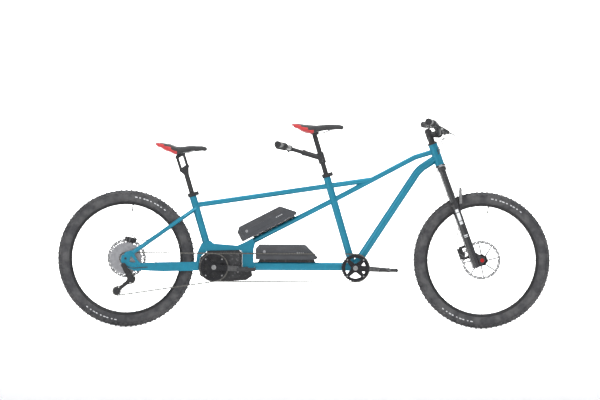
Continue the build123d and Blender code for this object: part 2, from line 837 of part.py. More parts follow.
def spider(axis, ring_y):
    """Four arms that carry a ring beside the drive side arm."""
    outline = [(-14, 14), (-8, ring_radius - 6), (8, ring_radius - 6), (14, 14)]
    for quarter in range(4):
        angle = radians(90 * quarter + 45)
        arm = [(x * cos(angle) - z * sin(angle), x * sin(angle) + z * cos(angle)) for x, z in outline]
        slab(around(axis, arm), -arm_inner, ring_y - ring_half)
    drum(axis, -arm_inner, ring_y - ring_half, 24)
    ring_bolts(axis, -arm_inner, ring_y + ring_half, ring_bolt_radius)


def crankset(axis, ring_y):
    """Spindle, both arms and the spider as one solid."""
    drum(axis, -arm_outer, arm_outer, spindle_radius)
    crank_arm(axis, -1)
    crank_arm(axis, 1)
    spider(axis, ring_y)


rear_outer_ring_y = drive_chain_y
with BuildPart() as rear_cranks:
    crankset(stoker_axis, rear_outer_ring_y)
    ring_bolts(stoker_axis, rear_outer_ring_y, timing_chain_y + ring_half, ring_bolt_radius)
    ring_bolts(stoker_axis, rear_outer_ring_y + ring_half, timing_chain_y - ring_half, ring_bolt_radius + 3)


def chainring(axis, ring_y):
    """A toothed ring, drilled for the bolts of its spider."""
    toothed_disc(axis, ring_y, ring_teeth, 2 * ring_half, ring_radius - 20)
    ring_bolts(axis, ring_y - ring_half, ring_y + ring_half, ring_bolt_radius + running, mode=Mode.SUBTRACT)


with BuildPart() as outer_ring:
    chainring(stoker_axis, rear_outer_ring_y)
with BuildPart() as inner_ring:
    chainring(stoker_axis, timing_chain_y)
save_group("rear_cranks", [rear_cranks.part, outer_ring.part, inner_ring.part])

with BuildPart() as front_cranks:
    crankset(captain_axis, timing_chain_y)
with BuildPart() as front_ring:
    chainring(captain_axis, timing_chain_y)
save_group("front_cranks", [front_cranks.part, front_ring.part])


def pedal(axis, side):
    """A flat pedal: a windowed platform about its axle."""
    tip = crank_end(axis, side)
    inner = arm_outer + 2.5
    outer = inner + pedal_width
    half = pedal_length / 2
    edge = pedal_thickness / 2
    outline = [(-half, -edge + 4), (-half, edge - 4), (-half + 6, edge), (half - 6, edge)]
    outline += [(half, edge - 4), (half, -edge + 4), (half - 6, -edge), (-half + 6, -edge)]
    slab(around(tip, outline), side * inner, side * outer)
    with BuildSketch(Plane.XY.offset(tip[1] - 20)) as windows:
        with Locations((tip[0], side * (inner + outer) / 2)):
            with GridLocations(56, 40, 2, 2):
                RectangleRounded(26, 30, 4)
    extrude(windows.sketch, amount=40, mode=Mode.SUBTRACT)
    drum(tip, side * inner, side * outer, pedal_axle_radius + 4)
    drum(tip, side * inner, side * (outer - 5), pedal_axle_radius + running, mode=Mode.SUBTRACT)
    for corner_x in (-half + 5, -16, 16, half - 5):
        for corner_y in (inner + 6, (inner + outer) / 2, outer - 6):
            start = (tip[0] + corner_x, side * corner_y, tip[1] - edge - 3)
            if abs(corner_x) > 20:
                bar(start, (start[0], start[1], tip[1] + edge + 3), 1.8)


for pedal_name, pedal_axis, pedal_side in (
    ("rear_right_pedal", stoker_axis, -1),
    ("rear_left_pedal", stoker_axis, 1),
    ("front_right_pedal", captain_axis, -1),
    ("front_left_pedal", captain_axis, 1),
):
    with BuildPart() as pedal_body:
        pedal(pedal_axis, pedal_side)
    pedal_body.part.label = pedal_name
    export_step(pedal_body.part, f"parts/{pedal_name}.step")

# ---------------------------------------------------------------- rear derailleur
cage_inner = 4.6  # inner face of a cage plate from the chain's middle
cage_plate = 1.6


def pulley(axis):
    """A toothed pulley with a wide hub."""
    toothed_disc(axis, drive_chain_y, pulley_teeth, 2.0, 1.5)
    drum(axis, drive_chain_y - 4, drive_chain_y + 4, 9)
    drum(axis, drive_chain_y - 5, drive_chain_y + 5, 2.5 + running, mode=Mode.SUBTRACT)


for pulley_name, pulley_axis in (("guide_pulley", guide_axis), ("tension_pulley", tension_axis)):
    with BuildPart() as pulley_body:
        pulley(pulley_axis)
    pulley_body.part.label = pulley_name
    export_step(pulley_body.part, f"parts/{pulley_name}.step")

cage_run = Vector(tension_axis[0] - guide_axis[0], tension_axis[1] - guide_axis[1])
cage_side = Vector(-cage_run.Y, cage_run.X).normalized() * 8
cage_outline = [
    (guide_axis[0] + cage_side.X * 1.5, guide_axis[1] + cage_side.Y * 1.5),
    (tension_axis[0] + cage_side.X, tension_axis[1] + cage_side.Y),
    (tension_axis[0] - cage_side.X, tension_axis[1] - cage_side.Y),
    (guide_axis[0] - cage_side.X * 1.5, guide_axis[1] - cage_side.Y * 1.5),
]
with BuildPart() as derailleur_cage:
    for plate_y in (drive_chain_y - cage_inner - cage_plate, drive_chain_y + cage_inner):
        slab(cage_outline, plate_y, plate_y + cage_plate)
        drum(guide_axis, plate_y, plate_y + cage_plate, 13)
        drum(tension_axis, plate_y, plate_y + cage_plate, 10)
    for pin_axis in (guide_axis, tension_axis):
        drum(
            pin_axis, drive_chain_y - cage_inner - cage_plate - 1.5,
            drive_chain_y + cage_inner + cage_plate, 2.5,
        )
derailleur_cage.part.label = "derailleur_cage"
export_step(derailleur_cage.part, "parts/derailleur_cage.step")

knuckle_y = drive_chain_y - cage_inner - cage_plate - 2.0
with BuildPart() as derailleur_body:
    drum(hanger_bolt, -dropout_outer - 0.2, -dropout_outer - 16, 13)
    drum(hanger_bolt, -dropout_inner - 1.1, -dropout_outer - 0.2, 4.4)
    drum(guide_axis, knuckle_y, knuckle_y - 20, 15)
    slab(
        [
            (hanger_bolt[0] - 12, hanger_bolt[1] - 2), (hanger_bolt[0] + 10, hanger_bolt[1] + 9),
            (guide_axis[0] + 14, guide_axis[1] + 6), (guide_axis[0] - 12, guide_axis[1] - 9),
        ],
        -dropout_outer - 1,
        -dropout_outer - 14,
    )
    drum(guide_axis, knuckle_y - 18, -dropout_outer - 14, 13)
derailleur_body.part.label = "derailleur_body"
export_step(derailleur_body.part, "parts/derailleur_body.step")


# ---------------------------------------------------------------- wheels
def tyre(centre):
    """A hollow tyre, open where it sits on its rim."""
    half = tyre_width / 2
    bead_y = half - 18
    foot = bead_radius + seat_gap
    widest = (foot + tyre_radius) / 2 + 1.5
    crown = tyre_radius - 4
    wall = 3.0
    origin = (centre[0], 0, centre[1])
    with BuildSketch(Plane(origin=origin, x_dir=(0, 1, 0), z_dir=(1, 0, 0))) as section:
        with BuildLine():
            Line((-bead_y, foot), (-bead_y, foot + 7))
            ThreePointArc((-bead_y, foot + 7), (-half, widest), (-half + 14.5, crown))
            ThreePointArc((-half + 14.5, crown), (0, tyre_radius), (half - 14.5, crown))
            ThreePointArc((half - 14.5, crown), (half, widest), (bead_y, foot + 7))
            Line((bead_y, foot + 7), (bead_y, foot))
            Line((bead_y, foot), (bead_y - wall, foot))
            Line((bead_y - wall, foot), (bead_y - wall, foot + 7))
            ThreePointArc((bead_y - wall, foot + 7), (half - wall, widest), (half - 17, crown - wall))
            ThreePointArc((half - 17, crown - wall), (0, tyre_radius - 5), (-half + 17, crown - wall))
            ThreePointArc((-half + 17, crown - wall), (-half + wall, widest), (-bead_y + wall, foot + 7))
            Line((-bead_y + wall, foot + 7), (-bead_y + wall, foot))
            Line((-bead_y + wall, foot), (-bead_y, foot))
        make_face()
    revolve(section.sketch, axis=Axis(origin, (0, 1, 0)))


def rim(centre):
    """A hollow hooked rim."""
    half = rim_width / 2
    seat = bead_radius
    foot = seat - rim_depth + 6
    profile = [
        (-half, seat + 5.8), (-half + 2.5, seat + 5.8), (-half + 2.5, seat), (-10, seat),
        (-8, seat - 3.7),
    ]
    profile += [(-y, r) for y, r in reversed(profile)]
    profile += [(half, seat - 1.7), (9, foot), (-9, foot), (-half, seat - 1.7)]
    turned(centre, profile)
    space = [
        (-half + 3.3, seat - 2), (-10.8, seat - 2), (-8.6, seat - 5.7), (8.6, seat - 5.7),
        (10.8, seat - 2),
    ]
    space += [(half - 3.3, seat - 2), (7.8, foot + 2), (-7.8, foot + 2)]
    turned(centre, space, mode=Mode.SUBTRACT)


flange_radius = 29.0
flange_half = 2.0
hole_circle = flange_radius - 2
spoke_lift = 1.6 + flange_half


def spokes(centre, flange_ys):
    """All the spokes of one wheel: each flange's leave it on both faces and cross."""
    pieces = []
    per_flange = spokes_per_wheel // 2
    step = 2 * pi / per_flange
    rim_inner = bead_radius - rim_depth + 6 - 0.3
    for flange_index, flange_y in enumerate(flange_ys):
        outward = 1 if flange_y > 0 else -1
        for hole in range(per_flange):
            lead = 1 if hole % 2 else -1
            start_angle = (hole + flange_index / 2) * step
            end_angle = start_angle + lead * spoke_crossings * step
            start_y = flange_y + outward * lead * spoke_lift
            start = (
                centre[0] + hole_circle * cos(start_angle), start_y,
                centre[1] + hole_circle * sin(start_angle)
            )
            end = (
                centre[0] + rim_inner * cos(end_angle), outward * 4, centre[1] + rim_inner * sin(end_angle)
            )
            with BuildPart() as spoke:
                bar(start, end, spoke_radius)
            pieces.append(spoke.part)
    return pieces


def rotor(centre, y):
    """A brake disc: a drilled band on curved-looking arms, with a toothless hub bore."""
    band_inner = rotor_radius - 15
    with BuildSketch(side_plane(y + rotor_thickness / 2)) as disc:
        with Locations((centre[0], centre[1])):
            Circle(rotor_radius)
            Circle(band_inner, mode=Mode.SUBTRACT)
            Circle(30)
            with PolarLocations(0, 8):
                with Locations((band_inner / 2 + 14, 6)):
                    Rectangle(band_inner - 24, 7, rotation=14)
            Circle(17 + running, mode=Mode.SUBTRACT)
            with PolarLocations(rotor_radius - 5, 24):
                Circle(2, mode=Mode.SUBTRACT)
            with PolarLocations(rotor_radius - 10.5, 24, start_angle=5):
                Circle(2, mode=Mode.SUBTRACT)
    extrude(disc.sketch, amount=rotor_thickness)


def bearing_rings(centre, ys, bore, outer):
    """Ring bearings between a hub and its axle, as separate solids."""
    rings = []
    for y in ys:
        with BuildPart() as ring:
            drum(centre, y - 3.5, y + 3.5, outer, bore)
        rings.append(ring.part)
    return rings


bearing_radius = 12.0


def hub_shell(centre, outline, bearing_ys, axle_radius):
    """A hub body, bored for its axle and for the bearings near its ends."""
    turned(centre, outline)
    ends = [y for y, r in outline]
    drum(centre, min(ends), max(ends), axle_radius + 1.5, mode=Mode.SUBTRACT)
    for y in bearing_ys:
        drum(centre, y - 3.5, y + 3.5, bearing_radius + running, mode=Mode.SUBTRACT)


def hub_outline(low_end, low_flange, high_flange, high_end, rotor_y):
    """Half of a hub's section, from the drive side to the rotor side."""
    low = low_flange - flange_half
    high = high_flange + flange_half
    return [
        (low_end, 0.1), (low_end, 14), (low, 15), (low, flange_radius), (
            low_flange + flange_half, flange_radius
        ),
        (low_flange + flange_half + 3, 15.5), (high_flange - flange_half - 3, 15.5),
        (high_flange - flange_half, flange_radius), (high, flange_radius), (high + 1, 20),
        (rotor_y - 1.1, 20), (rotor_y - 1.1, 17), (rotor_y + 5, 17), (high_end, 15), (high_end, 0.1),
    ]


front_hub_half = front_spacing / 2 - seat_gap
front_flanges = (-34.0, 26.0)
front_bearings = (-47.0, 47.0)
with BuildPart() as front_hub_body:
    hub_shell(
        axle_front,
        hub_outline(-front_hub_half, *front_flanges, front_hub_half, front_rotor_y),
        front_bearings,
        front_axle_radius,
    )
rear_hub_low = smallest_cog_y + cog_pitch * 10 + 1.8
rear_hub_high = rear_spacing / 2 - seat_gap
rear_flanges = (-21.0, 34.0)
rear_bearings = (-20.0, 66.0)
with BuildPart() as rear_hub_body:
    hub_shell(
        axle_rear,
        hub_outline(rear_hub_low, *rear_flanges, rear_hub_high, rear_rotor_y),
        rear_bearings,
        rear_axle_radius,
    )

for wheel, centre, flanges, rotor_y, hub_body, ring_ys, axle_radius in (
    ("front", axle_front, front_flanges, front_rotor_y, front_hub_body, front_bearings, front_axle_radius),
    ("rear", axle_rear, rear_flanges, rear_rotor_y, rear_hub_body, rear_bearings, rear_axle_radius),
):
    with BuildPart() as tyre_body:
        tyre(centre)
    tyre_body.part.label = f"{wheel}_tyre"
    export_step(tyre_body.part, f"parts/{wheel}_tyre.step")
    with BuildPart() as rim_body:
        rim(centre)
    rim_body.part.label = f"{wheel}_rim"
    export_step(rim_body.part, f"parts/{wheel}_rim.step")
    with BuildPart() as rotor_body:
        rotor(centre, rotor_y)
    rotor_body.part.label = f"{wheel}_rotor"
    export_step(rotor_body.part, f"parts/{wheel}_rotor.step")
    rings = bearing_rings(centre, ring_ys, axle_radius + running, bearing_radius)
    save_group(f"{wheel}_hub", [hub_body.part, *rings, *spokes(centre, flanges)])

with BuildPart() as rear_axle:
    drum(axle_rear, -dropout_outer - 2, dropout_outer + 1, rear_axle_radius)
    drum(axle_rear, dropout_outer + 0.1, dropout_outer + 6, 9.5)
    drum(axle_rear, -dropout_inner + 0.2, smallest_cog_y - 2.2, 9)
rear_axle.part.label = "rear_axle"
export_step(rear_axle.part, "parts/rear_axle.step")

# ---------------------------------------------------------------- seat collars and their levers
collar_height = 16.0
collar_radius = seat_tube_radius + 3.5
lever_ahead = collar_radius + 7.0
lever_y = -17.0


def seat_collar(tube, top):
    """A clamp ring about the top of a seat tube, with an ear in front for its lever."""
    low = tube(top - collar_height)
    high = tube(top + 4)
    bar(low, high, collar_radius)
    with BuildSketch(Plane(
        origin=low, x_dir=(cos(seat_lean_angle), 0, sin(seat_lean_angle)),
        z_dir=Vector(*high) - Vector(*low),
    )) as ear:
        with Locations((collar_radius + 4, 0)):
            Rectangle(16, 24)
    extrude(ear.sketch, amount=(Vector(*high) - Vector(*low)).length)
    bar(low, tube(top), seat_tube_radius + running, mode=Mode.SUBTRACT)
    bar(low, tube(top + 6), post_radius + running, mode=Mode.SUBTRACT)


def seat_lever(tube, top):
    """A quick release lever that folds back along the drive side of its collar."""
    middle = top - collar_height / 2 + 2
    bar(tube(middle - 6, lever_ahead, lever_y), tube(middle + 6, lever_ahead, lever_y), 4.6)
    start = tube(middle, lever_ahead, lever_y - 6)
    end = tube(middle, lever_ahead - 54, lever_y - 15)
    run = Vector(*end) - Vector(*start)
    with BuildSketch(Plane(origin=start, x_dir=Vector(0, 1, 0), z_dir=run)) as blade:
        RectangleRounded(4, 13, 1.5)
    extrude(blade.sketch, amount=run.length)
    bar(tube(middle, lever_ahead, lever_y), tube(middle, lever_ahead, lever_y - 8), 3.5)


collars = []
for seat_name, tube_point, tube_top in (
    ("stoker", stoker_tube, stoker_tube_top),
    ("captain", captain_tube, captain_tube_top),
):
    with BuildPart() as collar:
        seat_collar(tube_point, tube_top)
    collars.append(collar.part)
    with BuildPart() as lever:
        seat_lever(tube_point, tube_top)
    lever.part.label = f"{seat_name}_seat_lever"
    export_step(lever.part, f"parts/{seat_name}_seat_lever.step")
save_group("seat_collars", collars)

# ---------------------------------------------------------------- seatposts
post_depth = 105.0  # of post inside the tube
captain_rail_z = crank_height + 703.0
captain_head = captain_tube(captain_rail_z - 16)
stoker_rail_z = crank_height + 597.0


def saddle_clamp(centre_x, rail_z, clear):
    """A two-part cradle that grips both rails, bored this much larger than them."""
    slab([
        (centre_x - 21, rail_z - 9), (centre_x + 21, rail_z - 9), (centre_x + 19, rail_z + 7),
        (centre_x - 19, rail_z + 7),
    ],
         -rail_spread - 7, rail_spread + 7)
    for y in (-rail_spread, rail_spread):
        bar((centre_x - 30, y, rail_z), (centre_x + 30, y, rail_z), rail_radius + clear, mode=Mode.SUBTRACT)


captain_clamp_x = captain_tube(captain_rail_z)[0] + 3
with BuildPart() as captain_seatpost:
    bar(captain_tube(captain_tube_top - post_depth), captain_head, post_radius)
    bar(
        captain_tube(captain_tube_top - post_depth), captain_tube(captain_rail_z - 60), post_radius - 3,
        mode=Mode.SUBTRACT,
    )
    saddle_clamp(captain_clamp_x, captain_rail_z, running)
    drum((captain_clamp_x, captain_rail_z - 14), -14, 14, 13)
captain_seatpost.part.label = "captain_seatpost"
export_step(captain_seatpost.part, "parts/captain_seatpost.step")

# The stoker's post carries its saddle on two equal links, one behind the other.
link_rear_foot = (stoker_x - 175.0, crank_height + 505.0)
link_front_foot = (stoker_x - 142.5, crank_height + 525.5)
link_lean = radians(17.8)
link_length = 70.4
link_shift = (-link_length * sin(link_lean), link_length * cos(link_lean))
link_rear_head = (link_rear_foot[0] + link_shift[0], link_rear_foot[1] + link_shift[1])
link_front_head = (link_front_foot[0] + link_shift[0], link_front_foot[1] + link_shift[1])
link_pin = 4.0
block_half = 12.0
link_plate = 4.0
open_pivot_play = 0.9
stoker_clamp_x = link_rear_head[0] + 22.0
with BuildPart() as stoker_seatpost:
    bar(stoker_tube(stoker_tube_top - post_depth), stoker_tube(crank_height + 503), post_radius)
    bar(
        stoker_tube(stoker_tube_top - post_depth), stoker_tube(stoker_tube_top + 20), post_radius - 3,
        mode=Mode.SUBTRACT,
    )
    drum(link_rear_foot, -block_half, block_half, 10)
    drum(link_front_foot, -block_half, block_half, 10)
    slab([(link_rear_foot[0] - 6, link_rear_foot[1] - 7), (link_rear_foot[0] - 5, link_rear_foot[1] + 8),
          (link_front_foot[0] - 6, link_front_foot[1] + 9), (link_front_foot[0] + 7, link_front_foot[1] - 7),
          (
              stoker_tube(crank_height + 480)[0] + 12, crank_height + 480
          ), (stoker_tube(crank_height + 480)[0] - 12, crank_height + 480)],
         -block_half, block_half)
    for foot in (link_rear_foot, link_front_foot):
        drum(foot, -block_half, block_half, link_pin + running, mode=Mode.SUBTRACT)
stoker_seatpost.part.label = "stoker_seatpost"
export_step(stoker_seatpost.part, "parts/stoker_seatpost.step")


def post_link(foot, head, head_pin):
    """Two side plates joined by a pin through each end."""
    angle = atan2(head[1] - foot[1], head[0] - foot[0])
    wide = (-7.5 * sin(angle), 7.5 * cos(angle))
    outline = [
        (foot[0] + wide[0], foot[1] + wide[1]), (head[0] + wide[0], head[1] + wide[1]),
        (head[0] - wide[0], head[1] - wide[1]), (foot[0] - wide[0], foot[1] - wide[1]),
    ]
    for side in (-1, 1):
        near = side * (block_half + seat_gap)
        far = side * (block_half + seat_gap + link_plate)
        slab(outline, near, far)
        drum(foot, near, far, 8.5)
        drum(head, near, far, 8.5)
    reach = block_half + seat_gap + link_plate
    drum(foot, -reach, reach, link_pin)
    drum(head, -reach, reach, head_pin)


with BuildPart() as post_rear_link:
    post_link(link_rear_foot, link_rear_head, link_pin)
post_rear_link.part.label = "post_rear_link"
export_step(post_rear_link.part, "parts/post_rear_link.step")

with BuildPart() as post_front_link:
    post_link(link_front_foot, link_front_head, link_pin)
post_front_link.part.label = "post_front_link"
export_step(post_front_link.part, "parts/post_front_link.step")

with BuildPart() as stoker_post_head:
    drum(link_rear_head, -block_half, block_half, 10)
    drum(link_front_head, -block_half, block_half, 10)
    slab([(link_rear_head[0], link_rear_head[1] - 9), (link_front_head[0] + 4, link_front_head[1] - 9),
          (link_front_head[0] + 8, link_front_head[1] + 5), (stoker_clamp_x + 14, stoker_rail_z + 5),
          (stoker_clamp_x - 16, stoker_rail_z + 2), (link_rear_head[0] - 9, link_rear_head[1] + 4)],
         -block_half, block_half)
    saddle_clamp(stoker_clamp_x, stoker_rail_z, running)
    drum(link_rear_head, -rail_spread - 8, rail_spread + 8, link_pin + running, mode=Mode.SUBTRACT)
    drum(link_front_head, -rail_spread - 8, rail_spread + 8, link_pin + open_pivot_play, mode=Mode.SUBTRACT)
    for side in (-1, 1):
        for head in (link_rear_head, link_front_head):
            drum(head, side * (block_half + 0.01), side * (rail_spread + 8), 12.5, mode=Mode.SUBTRACT)
stoker_post_head.part.label = "stoker_post_head"
export_step(stoker_post_head.part, "parts/stoker_post_head.step")


# ---------------------------------------------------------------- saddles
def saddle_pad(tail, drop, rail_z):
    """A saddle body: broad at the tail, narrow at the nose, dipped between them."""
    half_plan = [
        (0, 30), (8, 52), (28, 68), (58, saddle_half_width), (92, 63), (132, 42), (172, 25), (214, 19)
    ]
    half_plan += [(258, 16), (saddle_length, 8)]
    half_plan = [(tail[0] + x, y) for x, y in half_plan]
    other_half = [(x, -y) for x, y in reversed(half_plan)]
    with BuildSketch(Plane.XY.offset(rail_z)) as plan:
        with BuildLine():
            Polyline(*half_plan, *other_half, close=True)
        make_face()
        fillet(plan.vertices(), 7)
    extrude(plan.sketch, amount=90)
    top = [(0, 0), (40, -9), (120, -drop - 5), (190, -drop), (262, -drop - 1), (272, -drop - 8)]
    low = [(270, -drop - 14), (200, -drop - 17), (120, -drop - 18), (60, -31), (18, -27), (0, -12)]
    slab([(tail[0] + x, tail[1] + z) for x, z in top + low], -90, 90, mode=Mode.INTERSECT)


def saddle_rail(tail, drop, centre_x, rail_z, side):
    """One bent rail, from the tail through the clamp to the nose."""
    points = [
        (tail[0] + 34, side * 36, tail[1] - 20), (centre_x - 42, side * rail_spread, rail_z),
        (centre_x + 42, side * rail_spread, rail_z), (tail[0] + 228, side * 9, tail[1] - drop - 8),
    ]
    swept(points, rail_radius, radii=[24, 24])


for saddle_name, saddle_tail, saddle_drop, clamp_x, rail_z in (
    ("stoker", (stoker_x - 311.0, crank_height + 645.0), 20.0, stoker_clamp_x, stoker_rail_z),
    ("captain", (captain_x - 335.6, crank_height + 749.0), 8.0, captain_clamp_x, captain_rail_z),
):
    with BuildPart() as pad:
        saddle_pad(saddle_tail, saddle_drop, rail_z)
    rails = []
    for rail_side in (-1, 1):
        with BuildPart() as rail:
            saddle_rail(saddle_tail, saddle_drop, clamp_x, rail_z, rail_side)
            add(pad.part, mode=Mode.SUBTRACT)
        rails.append(rail.part)
    save_group(f"{saddle_name}_saddle", [pad.part, *rails])

# ---------------------------------------------------------------- stoker's stem and bar
stem_root_z = crank_height + 573.0
stem_root = captain_tube(stem_root_z)
stoker_clamp = (captain_x - 347.6, crank_height + 622.0)
stem_run = Vector(stoker_clamp[0] - stem_root[0], 0, stoker_clamp[1] - stem_root[2])
stem_way = stem_run.normalized()
stem_shell = 14.5
stem_slider = 11.0


def along_stem(distance, lift=0.0, y=0.0):
    """A point along the stoker's stem, measured back from the captain's post."""
    return (
        stem_root[0] + stem_way.X * distance - stem_way.Z * lift,
        y,
        stem_root[2] + stem_way.Z * distance + stem_way.X * lift,
    )


with BuildPart() as stoker_stem:
    bar(captain_tube(stem_root_z - 28), captain_tube(stem_root_z + 28), post_radius + 6)
    bar(along_stem(0), along_stem(104), stem_shell)
    bar(along_stem(88), along_stem(104), stem_shell + 2)
    for distance in (91, 100):
        bar(along_stem(distance, 12, -13), along_stem(distance, 12, 13), 3)
    bar(along_stem(23), along_stem(104), stem_slider + running, mode=Mode.SUBTRACT)
    bar(
        captain_tube(stem_root_z - 30), captain_tube(stem_root_z + 30), post_radius + running,
        mode=Mode.SUBTRACT,
    )
stoker_stem.part.label = "stoker_stem"
export_step(stoker_stem.part, "parts/stoker_stem.step")

stem_end = stem_run.length
with BuildPart() as stoker_stem_slider:
    bar(along_stem(52), along_stem(stem_end - 6), stem_slider)
    drum(stoker_clamp, -21, 21, bar_radius + 7)
    bar(along_stem(stem_end, 19, -14), along_stem(stem_end, 19, 14), 3.5)
    drum(stoker_clamp, -21, 21, bar_radius + running, mode=Mode.SUBTRACT)
stoker_stem_slider.part.label = "stoker_stem_slider"
export_step(stoker_stem_slider.part, "parts/stoker_stem_slider.step")


def bar_route(clamp, flat, rise_y, rise, sweep_back, half):
    """Left half of a handlebar: flat middle, a rise, then a straight swept end."""
    return [
        (clamp[0], 0, clamp[1]), (clamp[0], flat, clamp[1]),
        (clamp[0] - sweep_back[0], rise_y, clamp[1] + rise[0]),
        (clamp[0] - sweep_back[1], half, clamp[1] + rise[1]),
    ]


def full_route(left_half):
    """Both halves of a route that is mirrored about the middle."""
    right_half = [(x, -y, z) for x, y, z in reversed(left_half[1:])]
    return right_half + left_half[1:]


def on_bar_end(route, y):
    """A point on the swept end of a bar, at this distance from the middle."""
    inner, outer = Vector(*route[-2]), Vector(*route[-1])
    share = (y - inner.Y) / (outer.Y - inner.Y)
    return inner + (outer - inner) * share


def grip(route, side, play=running):
    """A closed grip over the end of a bar."""
    way = (Vector(*route[-1]) - Vector(*route[-2])).normalized()
    tip = Vector(*route[-1])
    start = tip - way * grip_length
    stop = tip + way * 3
    bar(mirrored(start, side), mirrored(stop, side), grip_radius)
    bar(mirrored(start, side), mirrored(start + way * 8, side), grip_radius + 1.5)
    bar(
        mirrored(start - way, side), mirrored(tip + way * 0.1, side), bar_radius + play, mode=Mode.SUBTRACT
    )


stoker_bar = bar_route(stoker_clamp, 60, 130, (4, 16), (6, 56), stoker_bar_half)
with BuildPart() as stoker_handlebar:
    swept(full_route(stoker_bar), bar_radius, bar_radius - 2, radii=[60, 60, 60, 60])
grips = []
for grip_side in (-1, 1):
    with BuildPart() as one_grip:
        grip(stoker_bar, grip_side)
    grips.append(one_grip.part)
save_group("stoker_handlebar", [stoker_handlebar.part, *grips])

# ---------------------------------------------------------------- captain's cockpit
stem_clamp_up = 696.0
stem_reach = 48.0
bar_centre = fork_point(stem_reach, stem_clamp_up)
bar_clamp = (bar_centre[0], bar_centre[2])
steerer_top = 738.0
spacer_low = head_high + 11.3
stem_low = 686.0
with BuildPart() as stem:
    bar(fork_point(0, stem_low), fork_point(0, steerer_top - 4), steerer_radius + 5)
    bar(fork_point(0, (stem_low + steerer_top) / 2), fork_point(stem_reach - 10, stem_clamp_up), 17)
    drum(bar_clamp, -24, 24, clamp_radius + 5)
    drum(bar_clamp, -24, 24, clamp_radius + running, mode=Mode.SUBTRACT)
    bar(
        fork_point(0, stem_low - 1), fork_point(0, steerer_top + 30), steerer_radius + running,
        mode=Mode.SUBTRACT,
    )
with BuildPart() as stem_spacers:
    bar(
        fork_point(0, spacer_low), fork_point(0, stem_low - 0.2), steerer_radius + 3.5,
        steerer_radius + running,
    )
with BuildPart() as stem_cap:
    bar(fork_point(0, steerer_top + 0.2), fork_point(0, steerer_top + 4), steerer_radius + 4)
save_group("stem", [stem.part, stem_spacers.part, stem_cap.part])

captain_bar = bar_route(bar_clamp, 45, 118, (44, 56), (11, 63), captain_bar_half)
with BuildPart() as handlebar:
    swept(full_route(captain_bar), bar_radius, bar_radius - 2, radii=[45, 45, 45, 45])
    drum(bar_clamp, -38, 38, clamp_radius)
grips = []
for grip_side in (-1, 1):
    with BuildPart() as one_grip:
        grip(captain_bar, grip_side)
    grips.append(one_grip.part)
save_group("handlebar", [handlebar.part, *grips])

perch_y = 232.0
bar_way = (Vector(*captain_bar[-1]) - Vector(*captain_bar[-2])).normalized()
perch_point = on_bar_end(captain_bar, perch_y)
brake_dip = radians(31)
brake_way = Vector(cos(brake_dip), 0, -sin(brake_dip))
lever_pivot = perch_point + brake_way * 52 + bar_way * 12
pivot_pin = 2.5
lever_tip = perch_point + brake_way * 58 + bar_way * 116
reservoir_end = perch_point + brake_way * 84 - bar_way * 26


def brake_perch(side):
    """A clamp on the bar, the master cylinder and the lever's pivot ears."""
    bar(mirrored(perch_point - bar_way * 7, side), mirrored(perch_point + bar_way * 7, side), bar_radius + 5)
    bar(mirrored(perch_point, side), mirrored(perch_point + brake_way * 46, side), 8)
    bar(mirrored(perch_point + brake_way * 40 + bar_way * 4, side), mirrored(reservoir_end, side), 9)
    bar(mirrored(perch_point + brake_way * 34 + bar_way * 1, side), mirrored(lever_pivot, side), 7.4)
    bar(
        mirrored(perch_point - bar_way * 14, side), mirrored(perch_point + bar_way * 14, side),
        bar_radius + running, mode=Mode.SUBTRACT,
    )


def lever_axis(side):
    """Unit vector of a brake lever's pivot: a positive turn draws the lever to its grip."""
    outward = Vector(bar_way.X, side * bar_way.Y, bar_way.Z)
    return brake_way.cross(outward).normalized()


def pivot_bar(side, half_length, radius, mode=Mode.ADD):
    """A round piece on a brake lever's pivot axis."""
    reach = lever_axis(1) * half_length
    bar(mirrored(lever_pivot - reach, side), mirrored(lever_pivot + reach, side), radius, mode=mode)


def brake_lever(side):
    """A lever blade with a hooked end, on a pivot pin."""
    pivot_bar(side, 5, 8)
    reach = lever_tip - lever_pivot
    elbow = lever_pivot + reach * 0.35 + brake_way * 5
    bar(mirrored(lever_pivot + reach * 0.04, side), mirrored(elbow, side), 4.4)
    bar(mirrored(elbow - reach * 0.03, side), mirrored(lever_tip, side), 4.7)


perches = []
for perch_side in (-1, 1):
    with BuildPart() as perch:
        brake_perch(perch_side)
        pivot_bar(perch_side, 9, 8.3)
        pivot_bar(perch_side, 5.05, 9.8, mode=Mode.SUBTRACT)
        pivot_bar(perch_side, 9, pivot_pin)
    perches.append(perch.part)
save_group("brake_lever_bodies", perches)

for lever_name, lever_side in (("right_brake_lever", -1), ("left_brake_lever", 1)):
    with BuildPart() as blade_body:
        brake_lever(lever_side)
        pivot_bar(lever_side, 9, pivot_pin + running, mode=Mode.SUBTRACT)
    blade_body.part.label = lever_name
    export_step(blade_body.part, f"parts/{lever_name}.step")

